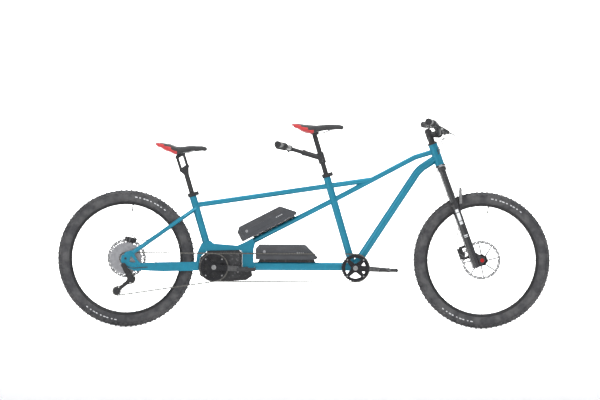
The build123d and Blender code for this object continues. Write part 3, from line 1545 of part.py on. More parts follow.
shifter_point = on_bar_end(captain_bar, 196)
shift_way = Vector(0.35, 0, -0.94).normalized()
with BuildPart() as shifter_pod:
    bar(mirrored(shifter_point - bar_way * 5, -1), mirrored(shifter_point + bar_way * 5, -1), bar_radius + 4)
    bar(mirrored(shifter_point + shift_way * 8, -1), mirrored(shifter_point + shift_way * 30, -1), 14)
    bar(
        mirrored(shifter_point - bar_way * 20, -1), mirrored(shifter_point + bar_way * 20, -1),
        bar_radius + running, mode=Mode.SUBTRACT,
    )
display_point = on_bar_end(captain_bar, 160)
with BuildPart() as assist_display:
    bar(mirrored(display_point - bar_way * 6, 1), mirrored(display_point + bar_way * 6, 1), bar_radius + 3.5)
    with BuildSketch(Plane(
        origin=mirrored(display_point + Vector(0, 0, 12), 1), x_dir=(1, 0, 0), z_dir=(-0.35, 0, 0.94)
    )) as screen:
        RectangleRounded(34, 46, 6)
    extrude(screen.sketch, amount=12)
    bar(
        mirrored(display_point - bar_way * 40, 1), mirrored(display_point + bar_way * 40, 1),
        bar_radius + running, mode=Mode.SUBTRACT,
    )
save_group("handlebar_controls", [shifter_pod.part, assist_display.part])

shift_pivot = shifter_point + shift_way * 30.3
with BuildPart() as shift_lever:
    bar(mirrored(shift_pivot, -1), mirrored(shift_pivot + shift_way * 5, -1), 9)
    bar(
        mirrored(shift_pivot + shift_way * 5, -1),
        mirrored(shift_pivot + shift_way * 9 + Vector(-32, -2, -10), -1), 4,
    )
shift_lever.part.label = "shift_lever"
export_step(shift_lever.part, "parts/shift_lever.step")

# ---------------------------------------------------------------- fork
fork_way = (Vector(*fork_point(0, 1)) - Vector(*fork_point(0, 0))).normalized()
fork_ahead = (Vector(*fork_point(1, 0)) - Vector(*fork_point(0, 0))).normalized()


def fork_level(up):
    """The plane square to the steering axis at this distance up it: x ahead, y left."""
    return Plane(origin=fork_point(0, up), x_dir=fork_ahead, z_dir=fork_way)


with BuildPart() as fork_crown:
    with BuildSketch(fork_level(crown_low)) as crown_plan:
        SlotCenterToCenter(2 * leg_spread, 2 * stanchion_radius + 12, rotation=90)
        Circle(27)
    extrude(crown_plan.sketch, amount=crown_high - crown_low)
    bar(fork_point(0, crown_low), fork_point(0, steerer_top), steerer_radius)
    bar(fork_point(0, crown_low), fork_point(0, steerer_top), steerer_radius - 2.5, mode=Mode.SUBTRACT)
    for leg_side in (-1, 1):
        leg_y = leg_side * leg_spread
        bar(
            fork_point(0, crown_low, leg_y), fork_point(0, crown_high, leg_y),
            stanchion_radius + running, mode=Mode.SUBTRACT,
        )
fork_crown.part.label = "fork_crown"
export_step(fork_crown.part, "parts/fork_crown.step")

stanchions = []
for leg_side in (-1, 1):
    leg_y = leg_side * leg_spread
    with BuildPart() as stanchion:
        bar(fork_point(0, stanchion_low, leg_y), fork_point(0, crown_high + 1, leg_y), stanchion_radius)
        bar(
            fork_point(0, stanchion_low, leg_y), fork_point(0, crown_high - 3, leg_y),
            stanchion_radius - 2.5, mode=Mode.SUBTRACT,
        )
    stanchions.append(stanchion.part)
save_group("fork_stanchions", stanchions)

arch_tilt = radians(19.4)
arch_foot = 286.0
arch_thickness = 14.0
lug_inner = front_spacing / 2
mudguard_thickness = 2.5
with BuildPart() as fork_lowers:
    for leg_side in (-1, 1):
        leg_y = leg_side * leg_spread
        bar(fork_point(0, leg_low, leg_y), fork_point(0, leg_high, leg_y), leg_radius)
        bar(fork_point(0, leg_high - 14, leg_y), fork_point(0, leg_high, leg_y), leg_radius + 1.6)
        slab([(-6, -28), (fork_offset - 4, -20), (fork_offset + 17, -8), (fork_offset + 18, 12),
              (fork_offset + 6, 22), (10, 62), (-8, 60)],
             leg_side * lug_inner, leg_side * (lug_inner + 15), plane=fork_plane)
    arch_plane = Plane(
        origin=fork_point(14, arch_foot),
        x_dir=(0, 1, 0),
        z_dir=fork_ahead * cos(arch_tilt) - fork_way * sin(arch_tilt),
    )
    with BuildSketch(arch_plane) as arch:
        with BuildLine():
            Polyline(
                (-72, 0), (-70, 34), (-54, 96), (-34, 118), (34, 118), (54, 96), (70, 34), (72, 0),
                (46, 0), (43, 66), (38, 94), (30, 103.8), (-30, 103.8), (-38, 94), (-43, 66), (-46, 0),
                close=True,
            )
        make_face()
    extrude(arch.sketch, amount=arch_thickness)
    for post_up in (38, 96):
        with BuildSketch(fork_plane(lug_inner - 2)) as boss:
            with Locations((-24, post_up)):
                Rectangle(24, 15)
        extrude(boss.sketch, amount=-14)
    for leg_side in (-1, 1):
        leg_y = leg_side * leg_spread
        bar(
            fork_point(0, leg_low + 15, leg_y), fork_point(0, leg_high + 60, leg_y),
            stanchion_radius + running, mode=Mode.SUBTRACT,
        )
    drum(axle_front, -lug_inner - 32, lug_inner + 32, front_axle_radius + running, mode=Mode.SUBTRACT)
fork_lowers.part.label = "fork_lowers"
export_step(fork_lowers.part, "parts/fork_lowers.step")

with BuildPart() as front_axle:
    drum(axle_front, -lug_inner - 15, lug_inner + 17, front_axle_radius)
    drum(axle_front, -lug_inner - 15.1, -lug_inner - 21, 10)
    drum(axle_front, lug_inner + 15.1, lug_inner + 20, 9)
front_axle.part.label = "front_axle"
export_step(front_axle.part, "parts/front_axle.step")

# The mudguard is an arched strip under the fork arch, just clear of the tyre.
guard_half = 28.0
guard_rear = (-129.0, 361.0)
guard_middle = (0.0, 380.6)
guard_front = (101.0, 374.0)
with BuildPart() as mudguard:
    with BuildSketch(fork_plane(guard_half)) as strip:
        with BuildLine():
            ThreePointArc(guard_rear, guard_middle, guard_front)
            Line(guard_front, (guard_front[0], guard_front[1] - mudguard_thickness))
            ThreePointArc(
                (guard_front[0], guard_front[1] - mudguard_thickness),
                (guard_middle[0], guard_middle[1] - mudguard_thickness),
                (guard_rear[0], guard_rear[1] - mudguard_thickness),
            )
            Line((guard_rear[0], guard_rear[1] - mudguard_thickness), guard_rear)
        make_face()
    extrude(strip.sketch, amount=2 * guard_half)
mudguard.part.label = "mudguard"
export_step(mudguard.part, "parts/mudguard.step")


# ---------------------------------------------------------------- brake calipers
def caliper(plane, centre, disc_y, along, across_radial):
    """A caliper body straddling its disc, centred on a point of the plane."""
    half_long = along / 2
    half_deep = across_radial / 2
    outline = [
        (
            centre[0] - half_deep, centre[1] - half_long + 8
        ), (centre[0] - half_deep + 8, centre[1] - half_long),
        (centre[0] + half_deep, centre[1] - half_long), (centre[0] + half_deep, centre[1] + half_long),
        (
            centre[0] - half_deep + 8, centre[1] + half_long
        ), (centre[0] - half_deep, centre[1] + half_long - 8),
    ]
    slab(outline, disc_y - 13, disc_y + 11, plane=plane)


front_caliper_place = (-50.0, 66.0)
with BuildPart() as front_caliper:
    caliper(fork_plane, front_caliper_place, front_rotor_y, 62, 28)
    slab(
        [(-80, 20), (60, 20), (60, 110), (-80, 110)], front_rotor_y - 1.6, front_rotor_y + 1.6,
        plane=fork_plane, mode=Mode.SUBTRACT,
    )
    slab(
        [(-64.0, 30), (-66, 34), (-66, 98), (-64.0, 102), (-60, 102), (-60, 30)], front_rotor_y - 3,
        front_rotor_y + 3, plane=fork_plane,
    )
    slab(
        [(-48, 31), (-36.2, 31), (-36.2, 103), (-48, 103)], front_rotor_y + 5, front_rotor_y + 13,
        plane=fork_plane,
    )
front_caliper.part.label = "front_caliper"
export_step(front_caliper.part, "parts/front_caliper.step")

rear_caliper_place = (rear_x + 19.5, axle_z + 95.0)


def caliper_plane(y):
    """Side view turned so that its x points from the rear axle out through the caliper."""
    way = Vector(rear_caliper_place[0] - rear_x, 0, rear_caliper_place[1] - axle_z).normalized()
    return Plane(origin=(rear_x, y, axle_z), x_dir=way, z_dir=(0, -1, 0))


with BuildPart() as rear_caliper:
    slab([(84, -24), (92, -31), (110, -31), (112, -24), (112, 24), (110, 31), (92, 31), (84, 24)],
         rear_rotor_y - 11, rear_rotor_y + 12, plane=caliper_plane)
    slab(
        [(60, -40), (105, -40), (105, 40), (60, 40)], rear_rotor_y - 1.6, rear_rotor_y + 1.6,
        plane=caliper_plane, mode=Mode.SUBTRACT,
    )
    slab(
        [(70, -16), (96, -22), (104, 14), (72, 16)], rear_rotor_y + 4, dropout_inner - 0.1,
        plane=caliper_plane,
    )
rear_caliper.part.label = "rear_caliper"
export_step(rear_caliper.part, "parts/rear_caliper.step")


# ---------------------------------------------------------------- hoses and cables
def hose(name, points, radius=hose_radius):
    """One hose: prints its length and its bends so that they can be checked."""
    with BuildPart() as line:
        length = swept(points, radius)
    radii = [round(value, 1) for value in corner_radii(points)]
    print(
        name, "length", round(length, 1), "volume ratio",
        round(line.part.volume / (pi * radius**2 * length), 4),
    )
    print(name, "bend radii", radii)
    return line.part


front_hose_start = mirrored(reservoir_end - bar_way * 3, 1)
arch_clip = fork_point(62, 372, 52)
front_hose_points = [
    front_hose_start,
    (front_hose_start[0] + 34, front_hose_start[1] - 22, front_hose_start[2] - 2),
    (front_hose_start[0] + 74, front_hose_start[1] - 62, front_hose_start[2] - 14),
    (front_hose_start[0] + 97, front_hose_start[1] - 100, front_hose_start[2] - 52),
    fork_point(88, 560, 72),
    fork_point(84, 500, 60),
    fork_point(78, 440, 58),
    fork_point(66, 380, 66),
    fork_point(42, 322, 90),
    fork_point(16, 262, 94),
    fork_point(-14, 206, 90),
    fork_point(-38, 156, 78),
    fork_point(-50, 124, 60),
    fork_point(-51, 98.4, 44),
]
with BuildPart() as front_hose_holder:
    add(hose("front_brake_hose", front_hose_points))
front_hose_holder.part.label = "front_brake_hose"
export_step(front_hose_holder.part, "parts/front_brake_hose.step")

port_up = 619.0
steering_lines = []
rear_brake_start = mirrored(reservoir_end - bar_way * 3, -1)
shift_start = mirrored(shifter_point + shift_way * 20 - bar_way * 17.5, -1)
for line_name, start, port_y, port_step in (
    ("rear_brake_line", rear_brake_start, -21.5, 0.0),
    ("shift_line", shift_start, -21.5, -14.0),
):
    side_reach = start[1]
    points = [
        start,
        (start[0] + 26, side_reach + 24, start[2] - 10),
        (start[0] + 40, side_reach + 66, start[2] - 34),
        fork_point(56, 668 + port_step, side_reach + 116),
        fork_point(40, 646 + port_step, side_reach * 0.28),
        fork_point(25, port_up + 14 + port_step, port_y - 12),
        fork_point(11, port_up - 8 + port_step, port_y - 3.6),
    ]
    steering_lines.append(hose(line_name, points))
save_group("steering_hoses", steering_lines)

rear_hose_points = [
    stay_place(stay_meet * 0.47, 73.4),
    stay_place(stay_meet * 0.34, 86.4),
    (stay_place(stay_meet * 0.22, 0)[0] - 8, 97, stay_place(stay_meet * 0.22, 0)[2] + 12),
    (rear_x + 62, 97, axle_z + 88),
    (rear_x + 36, 84, axle_z + 112),
    (rear_x + 24, 68, axle_z + 121),
]
rear_lines = [hose("rear_brake_hose", rear_hose_points)]
shift_points = [
    (rear_x + 116, -88.7, axle_z - 44),
    (rear_x + 72, -93, axle_z - 47),
    (rear_x + 38, -93, axle_z - 51),
    (rear_x + 10.8, -91, axle_z - 40),
]
rear_lines.append(hose("rear_shift_cable", shift_points, 2.0))
save_group("rear_hose_and_cable", rear_lines)

# ---------------------------------------------------------------- joint places for the record
print("steering_point", fork_point(0, 0), "steering_way", tuple(fork_way))
print(
    "lever pivots", mirrored(lever_pivot, -1), "right axis", tuple(lever_axis(-1)), "left axis",
    tuple(lever_axis(1)),
)
print("shift pivot", mirrored(shift_pivot, -1), tuple(shift_way))
for seat_name, tube_point, tube_top in (
    ("stoker", stoker_tube, stoker_tube_top), ("captain", captain_tube, captain_tube_top)
):
    print(seat_name, "seat lever", tube_point(tube_top - collar_height / 2 + 2, lever_ahead, lever_y))
print("stem_way", tuple(stem_way), "links", link_rear_foot, link_front_foot, link_rear_head)
print(
    "guide", guide_axis, "tension", tension_axis, "upper battery", upper_start, degrees(upper_slope),
    "lower", lower_start,
)
print(
    "pedals", crank_end(stoker_axis, -1), crank_end(stoker_axis, 1), crank_end(captain_axis, -1),
    crank_end(captain_axis, 1),
)
print("eyelets", eyelet_places)
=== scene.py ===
import json
import random
from math import asin, atan2, cos, degrees, hypot, pi, radians, sin

import bpy
from mathutils import Matrix, Vector

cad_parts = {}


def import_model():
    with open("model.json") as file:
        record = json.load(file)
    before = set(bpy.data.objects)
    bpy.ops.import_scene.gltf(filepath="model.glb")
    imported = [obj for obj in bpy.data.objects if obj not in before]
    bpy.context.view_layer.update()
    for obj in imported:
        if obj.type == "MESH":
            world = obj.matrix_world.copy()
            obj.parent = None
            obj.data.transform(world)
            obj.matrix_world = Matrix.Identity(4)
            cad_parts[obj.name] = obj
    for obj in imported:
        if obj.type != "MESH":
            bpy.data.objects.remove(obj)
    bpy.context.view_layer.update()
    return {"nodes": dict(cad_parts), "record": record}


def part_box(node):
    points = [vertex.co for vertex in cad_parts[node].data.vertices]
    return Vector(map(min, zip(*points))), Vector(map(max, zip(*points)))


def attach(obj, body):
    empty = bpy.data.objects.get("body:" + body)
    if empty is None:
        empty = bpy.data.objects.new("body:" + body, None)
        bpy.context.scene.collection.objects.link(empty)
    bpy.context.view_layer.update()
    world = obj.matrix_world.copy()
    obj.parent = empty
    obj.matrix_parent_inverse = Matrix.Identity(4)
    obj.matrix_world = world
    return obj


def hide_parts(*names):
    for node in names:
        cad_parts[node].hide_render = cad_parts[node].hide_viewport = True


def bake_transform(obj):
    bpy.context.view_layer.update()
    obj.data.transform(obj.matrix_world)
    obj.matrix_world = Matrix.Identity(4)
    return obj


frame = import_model()
nodes = frame["nodes"]
record = frame["record"]
joints = {joint["name"]: joint for joint in record["behaviour"]["joints"]}
chance = random.Random(7)


# ---------------------------------------------------------------- camera and studio
def place_camera():
    """A long lens square to the bicycle's right side."""
    lens = bpy.data.cameras.new("camera")
    lens.lens = 229.9
    lens.sensor_width = 36
    lens.clip_end = 100
    camera = bpy.data.objects.new("camera", lens)
    bpy.context.scene.collection.objects.link(camera)
    camera.location = (-0.022, -20.0, 0.667)
    camera.rotation_euler = (pi / 2, -radians(0.33), 0)
    bpy.context.scene.camera = camera


def area_light(name, place, aim, size, power):
    """A large soft lamp pointed at a place."""
    lamp = bpy.data.lights.new(name, "AREA")
    lamp.shape = "RECTANGLE"
    lamp.size, lamp.size_y = size
    lamp.energy = power
    holder = bpy.data.objects.new(name, lamp)
    bpy.context.scene.collection.objects.link(holder)
    holder.location = place
    holder.rotation_euler = (Vector(aim) - Vector(place)).to_track_quat("-Z", "Y").to_euler()


place_camera()
def floor():
    """A plain pale floor that curves up far behind."""
    rows = [(-30, 0.0), (4, 0.0), (7, 0.15), (9, 0.8), (10, 2.2), (10.2, 9.0)]
    vertices = [(x, y, z - 0.0005) for y, z in rows for x in (-30, 30)]
    faces = [(2 * k, 2 * k + 1, 2 * k + 3, 2 * k + 2) for k in range(len(rows) - 1)]
    mesh = bpy.data.meshes.new("floor")
    mesh.from_pydata(vertices, [], faces)
    mesh.polygons.foreach_set("use_smooth", [True] * len(faces))
    piece = bpy.data.objects.new("floor", mesh)
    bpy.context.scene.collection.objects.link(piece)
    material = bpy.data.materials.new("floor")
    material.use_nodes = True
    shader = material.node_tree.nodes["Principled BSDF"]
    shader.inputs["Base Color"].default_value = (0.93, 0.93, 0.92, 1)
    shader.inputs["Roughness"].default_value = 0.8
    mesh.materials.append(material)
    world = bpy.data.worlds.new("studio")
    world.use_nodes = True
    world.node_tree.nodes["Background"].inputs["Color"].default_value = (0.95, 0.96, 1.0, 1)
    world.node_tree.nodes["Background"].inputs["Strength"].default_value = 0.9
    bpy.context.scene.world = world
    return piece


FLOOR = floor()
area_light("key", (1.6, -3.2, 3.6), (0, 0, 0.5), (3.0, 2.0), 110)
area_light("fill", (-3.0, -3.0, 2.0), (-0.3, 0, 0.5), (2.5, 2.0), 45)
area_light("back", (0.5, 3.4, 3.2), (0, 0, 0.6), (3.0, 1.5), 90)
area_light("top", (0, 0, 4.5), (0, 0, 0), (4.0, 2.0), 90)
area_light("wall", (0, 4.5, 5.5), (0, 9.5, 1.4), (12.0, 1.5), 1500)
bpy.context.scene.view_settings.view_transform = "Standard"


# ---------------------------------------------------------------- materials
class Look:
    """A node material built step by step."""

    def __init__(self, name):
        self.material = bpy.data.materials.new(name)
        self.material.use_nodes = True
        self.tree = self.material.node_tree
        self.shader = self.tree.nodes["Principled BSDF"]
        self.coordinates = self.tree.nodes.new("ShaderNodeTexCoord").outputs["Object"]

    def node(self, kind, **inputs):
        made = self.tree.nodes.new(kind)
        for key, value in inputs.items():
            self.feed(made.inputs[key.replace("_", " ")], value)
        return made

    def feed(self, socket, value):
        if isinstance(value, bpy.types.NodeSocket):
            self.tree.links.new(value, socket)
        else:
            socket.default_value = value

    def noise(self, scale, detail=3.0):
        made = self.node("ShaderNodeTexNoise", Vector=self.coordinates, Scale=scale, Detail=detail)
        return made.outputs["Fac"]

    def ramp(self, value, low, high, start=0.0, end=1.0):
        """A value mapped from low..high to start..end, held at both ends."""
        made = self.tree.nodes.new("ShaderNodeMapRange")
        self.feed(made.inputs["Value"], value)
        made.inputs["From Min"].default_value = low
        made.inputs["From Max"].default_value = high
        made.inputs["To Min"].default_value = start
        made.inputs["To Max"].default_value = end
        return made.outputs["Result"]

    def mix(self, factor, first, second):
        made = self.tree.nodes.new("ShaderNodeMix")
        made.data_type = "RGBA"
        self.feed(made.inputs["Factor"], factor)
        self.feed(made.inputs[6], first)
        self.feed(made.inputs[7], second)
        return made.outputs[2]

    def arithmetic(self, operation, first, second=0.0):
        made = self.tree.nodes.new("ShaderNodeMath")
        made.operation = operation
        self.feed(made.inputs[0], first)
        self.feed(made.inputs[1], second)
        return made.outputs[0]

    def distance_from_axle(self, x, z):
        """Distance from a line along Y, in metres."""
        parts = self.node("ShaderNodeSeparateXYZ", Vector=self.coordinates)
        across = self.arithmetic("SUBTRACT", parts.outputs["X"], x)
        up = self.arithmetic("SUBTRACT", parts.outputs["Z"], z)
        squares = self.arithmetic(
            "ADD", self.arithmetic("MULTIPLY", across, across), self.arithmetic("MULTIPLY", up, up)
        )
        return self.arithmetic("SQRT", squares)

    def bump(self, height, strength, distance):
        made = self.node("ShaderNodeBump", Height=height, Strength=strength, Distance=distance)
        self.feed(self.shader.inputs["Normal"], made.outputs["Normal"])

    def colour(self, value):
        self.feed(self.shader.inputs["Base Color"], value)

    def fixed(self, **values):
        for key, value in values.items():
            self.shader.inputs[key.replace("_", " ")].default_value = value

    def rough(self, low, high, scale):
        self.feed(self.shader.inputs["Roughness"], self.ramp(self.noise(scale), 0.3, 0.7, low, high))


def shade(colour, factor):
    return tuple(min(1.0, part * factor) for part in colour) + (1.0,)


def plain_look(name, colour, rough, spread=0.12, scale=30, metallic=0.0, grain=900, strength=0.08,
               distance=0.0004, wear=0.0, worn=(0.55, 0.55, 0.56), coat=0.0, sheen=0.0):
    """A mottled finish with fine grain and, where asked, lighter worn edges."""
    look = Look(name)
    base = look.mix(look.ramp(look.noise(scale), 0.35, 0.65), shade(colour, 1 - spread), shade(colour, 1 + spread))
    if wear:
        edges = look.node("ShaderNodeNewGeometry").outputs["Pointiness"]
        patch = look.arithmetic("MULTIPLY", look.ramp(edges, 0.56, 0.66), look.ramp(look.noise(90), 0.55, 0.7))
        base = look.mix(look.arithmetic("MULTIPLY", patch, wear), base, shade(worn, 1.0))
    look.colour(base)
    look.rough(rough - 0.05, rough + 0.07, scale * 2.3)
    look.bump(look.noise(grain, 2.0), strength, distance)
    look.fixed(Metallic=metallic, Coat_Weight=coat, Coat_Roughness=0.12, Sheen_Weight=sheen)
    return look.material


paint = plain_look("frame_paint", (0.001, 0.160, 0.245), 0.34, spread=0.05, metallic=0.45, grain=2600, strength=0.03,
                   coat=0.25, wear=0.1, worn=(0.1, 0.35, 0.45))
black_metal = plain_look("black_metal", (0.008, 0.008, 0.009), 0.40, metallic=0.1, wear=0.12)
gloss_black = plain_look("gloss_black", (0.006, 0.006, 0.007), 0.24, coat=0.5, wear=0.06)
silver = plain_look("silver", (0.30, 0.30, 0.31), 0.34, metallic=1.0, spread=0.1, scale=60, grain=1600)
steel = plain_look("steel", (0.26, 0.26, 0.26), 0.34, metallic=1.0, spread=0.12, scale=80, grain=2000)
chain_steel = plain_look("chain_steel", (0.11, 0.108, 0.10), 0.38, metallic=1.0, spread=0.3, scale=150)
rubber = plain_look("grip_rubber", (0.011, 0.011, 0.012), 0.75, strength=0.25, grain=1400)
plastic = plain_look("black_plastic", (0.013, 0.013, 0.014), 0.5, strength=0.2, grain=1500, wear=0.3)
battery_shell = plain_look("battery_shell", (0.030, 0.032, 0.037), 0.36, strength=0.12, grain=2200, coat=0.25)
battery_band = plain_look("battery_band", (0.045, 0.046, 0.050), 0.42, metallic=0.2, grain=1800)
hose_black = plain_look("hose_black", (0.012, 0.012, 0.013), 0.33, coat=0.3, strength=0.04)
# Pale colour for the tyre's printed dashes and the battery lights; also used for the painted highlights on the fork
# legs.
pale_marks_and_painted_highlights = plain_look("pale_marks_and_painted_highlights", (0.55, 0.56, 0.57), 0.5, spread=0.2)
red_metal = plain_look("red_metal", (0.42, 0.012, 0.012), 0.3, metallic=0.7)
leather = plain_look("saddle_leather", (0.011, 0.011, 0.012), 0.55, spread=0.25, scale=60, grain=700, strength=0.35,
                     distance=0.0006, sheen=0.15)
red_leather = plain_look("saddle_red", (0.42, 0.018, 0.02), 0.48, spread=0.15, scale=60, grain=700, strength=0.35,
                         distance=0.0006, sheen=0.15)


def tyre_look():
    """Dusty rubber, mottled by noise between a darker and a paler tone."""
    look = Look("tyre_rubber")
    dust = look.ramp(look.noise(22, 5.0), 0.4, 0.62)
    look.colour(look.mix(dust, (0.030, 0.030, 0.033, 1), (0.062, 0.061, 0.062, 1)))
    look.rough(0.62, 0.86, 60)
    look.bump(look.noise(650, 4.0), 0.35, 0.0006)
    return look.material


def two_zone_look(name, x, z, limit, inner, outer, inner_rough, outer_rough):
    """One finish inside a radius about a wheel's axle, another outside it."""
    look = Look(name)
    zone = look.ramp(look.distance_from_axle(x, z), limit, limit + 0.001)
    speckle = look.ramp(look.noise(90), 0.3, 0.7, 0.75, 1.1)
    base = look.mix(zone, shade(inner, 1), shade(outer, 1))
    tinted = look.node("ShaderNodeVectorMath")
    tinted.operation = "SCALE"
    look.feed(tinted.inputs[0], base)
    look.feed(tinted.inputs["Scale"], speckle)
    look.colour(tinted.outputs[0])
    look.feed(look.shader.inputs["Roughness"], look.ramp(zone, 0, 1, inner_rough, outer_rough))
    look.bump(look.noise(1300, 2.0), 0.06, 0.0003)
    look.fixed(Metallic=0.8)
    return look.material


rubber_tyre = tyre_look()
axle = {side: joints[f"{side}_wheel_spin"]["pos_m"] for side in ("front", "rear")}
crank = {side: joints[f"{side}_crank_spin"]["pos_m"] for side in ("front", "rear")}


def finish(node, material):
    """Give a CAD node a material in every slot."""
    slots = nodes[node].material_slots
    for slot in slots:
        slot.material = material
    if not slots:
        nodes[node].data.materials.append(material)


black_nodes = (
    "battery_rails", "brake_lever_bodies", "captain_seat_lever", "captain_seatpost", "derailleur_body",
    "derailleur_cage", "frame_bearings", "front_caliper", "handlebar", "left_brake_lever", "motor_housing",
    "post_front_link", "post_rear_link", "rear_axle", "rear_caliper", "right_brake_lever", "seat_collars", "stem",
    "stoker_handlebar", "stoker_post_head", "stoker_seat_lever", "stoker_seatpost", "stoker_stem",
    "stoker_stem_slider", "front_rim", "rear_rim",
)
for node in black_nodes:
    finish(node, black_metal)
for node in ("frame_tubes", "rear_stays"):
    finish(node, paint)
for node in ("fork_crown", "fork_lowers"):
    finish(node, gloss_black)
for node in ("front_rotor", "rear_rotor"):
    finish(node, steel)
finish("fork_stanchions", gloss_black)
for node in ("front_left_pedal", "front_right_pedal", "rear_left_pedal", "rear_right_pedal", "guide_pulley",
             "tension_pulley", "handlebar_controls", "shift_lever", "motor_cover", "mudguard"):
    finish(node, plastic)
for node in ("steering_hoses", "front_brake_hose", "rear_hose_and_cable"):
    finish(node, hose_black)
for node in ("upper_battery", "lower_battery"):
    finish(node, battery_shell)
finish("cassette", silver)
finish("front_axle", red_metal)
for side in ("front", "rear"):
    finish(f"{side}_hub", two_zone_look(
        f"{side}_hub_and_spokes", axle[side][0], axle[side][2], 0.0335, (0.012, 0.012, 0.013), (0.20, 0.20, 0.205), 0.35, 0.3
    ))
    finish(f"{side}_cranks", two_zone_look(
        f"{side}_crank_finish", crank[side][0], crank[side][2], 0.0715, (0.024, 0.024, 0.026), (0.10, 0.10, 0.10), 0.36, 0.3
    ))


# ---------------------------------------------------------------- mesh helpers
def mesh_piece(name, vertices, faces, material, body, smooth=True, extra=(), face_materials=None):
    """A mesh object that rides on a body."""
    mesh = bpy.data.meshes.new(name)
    mesh.from_pydata([tuple(v) for v in vertices], [], faces)
    for each in (material, *extra):
        mesh.materials.append(each)
    if face_materials:
        mesh.polygons.foreach_set("material_index", face_materials)
    if smooth:
        mesh.polygons.foreach_set("use_smooth", [True] * len(mesh.polygons))
    mesh.validate()
    piece = bpy.data.objects.new(name, mesh)
    bpy.context.scene.collection.objects.link(piece)
    if smooth:
        soften(piece)
    if body:
        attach(piece, body)
    return piece


def soften(piece, angle=35):
    """Smooth shading with sharp edges kept."""
    mesh = piece.data
    mesh.set_sharp_from_angle(angle=radians(angle))


class Builder:
    """Collects vertices and faces for one mesh."""

    def __init__(self):
        self.vertices = []
        self.faces = []
        self.marks = []

    def add(self, vertices, faces, mark=0):
        base = len(self.vertices)
        self.vertices += [tuple(v) for v in vertices]
        self.faces += [tuple(base + index for index in face) for face in faces]
        self.marks += [mark] * len(faces)

    def rings(self, rings, closed=False, caps=True, mark=0):
        """A skin through rings of points with equal counts."""
        count = len(rings[0])
        faces = []
        spans = len(rings) if closed else len(rings) - 1
        for ring in range(spans):
            after = (ring + 1) % len(rings)
            for index in range(count):
                beside = (index + 1) % count
                faces.append((ring * count + index, ring * count + beside, after * count + beside, after * count + index))
        if caps and not closed:
            faces.append(tuple(reversed(range(count))))
            faces.append(tuple((len(rings) - 1) * count + index for index in range(count)))
        self.add([point for ring in rings for point in ring], faces, mark)

    def turned(self, origin, way, profile, count=32, mark=0, caps=True):
        """A body turned about an axis: profile is (distance along, radius) pairs."""
        way = Vector(way).normalized()
        first, second = basis(way)
        rings = []
        for along, radius in profile:
            centre = Vector(origin) + way * along
            rings.append([
                centre + first * radius * cos(2 * pi * k / count) + second * radius * sin(2 * pi * k / count)
                for k in range(count)
            ])
        self.rings(rings, caps=caps, mark=mark)

    def piece(self, name, material, body, **options):
        if self.marks and any(self.marks):
            options["face_materials"] = self.marks
        return mesh_piece(name, self.vertices, self.faces, material, body, **options)


def basis(way):
    """Two unit vectors square to a direction."""
    helper = Vector((0, 1, 0)) if abs(way.y) < 0.9 else Vector((1, 0, 0))
    first = way.cross(helper).normalized()
    return first, way.cross(first).normalized()


def block(builder, centre, axes, half, taper=1.0, mark=0):
    """A box with a smaller top: axes are its three directions, the last one upwards."""
    across, along, up = axes
    vertices = []
    for level, share in ((-1, 1.0), (1, taper)):
        for a, b in ((-1, -1), (1, -1), (1, 1), (-1, 1)):
            vertices.append(
                centre + across * a * half[0] * share + along * b * half[1] * share + up * level * half[2]
            )
    faces = [(0, 3, 2, 1), (4, 5, 6, 7), (0, 1, 5, 4), (1, 2, 6, 5), (2, 3, 7, 6), (3, 0, 4, 7)]
    builder.add(vertices, faces, mark)


def slab_centre(node, low, high, axis=1):
    """The middle of a node's vertices inside a slab across one axis."""
    picked = [v.co for v in nodes[node].data.vertices if low <= v.co[axis] <= high]
    lowest = Vector([min(v[k] for v in picked) for k in range(3)])
    highest = Vector([max(v[k] for v in picked) for k in range(3)])
    return (lowest + highest) / 2


# ---------------------------------------------------------------- tyres
BEAD_TURN = radians(150.5)


def tyre_point(centre, half_width, radius, foot, across, lift=0.0):
    """A place on a tyre's section: across runs from -1 at one bead, over the crown, to 1."""
    middle = (foot + radius) / 2 + 0.0015
    angle = across * BEAD_TURN
    height = radius - middle if abs(angle) < pi / 2 else 0.0374
    y = (half_width + lift) * sin(angle)
    r = middle + (height + lift) * cos(angle)
    return y, r


def on_wheel(centre, y, r, turn):
    return Vector((centre[0] + r * cos(turn), y, centre[2] + r * sin(turn)))


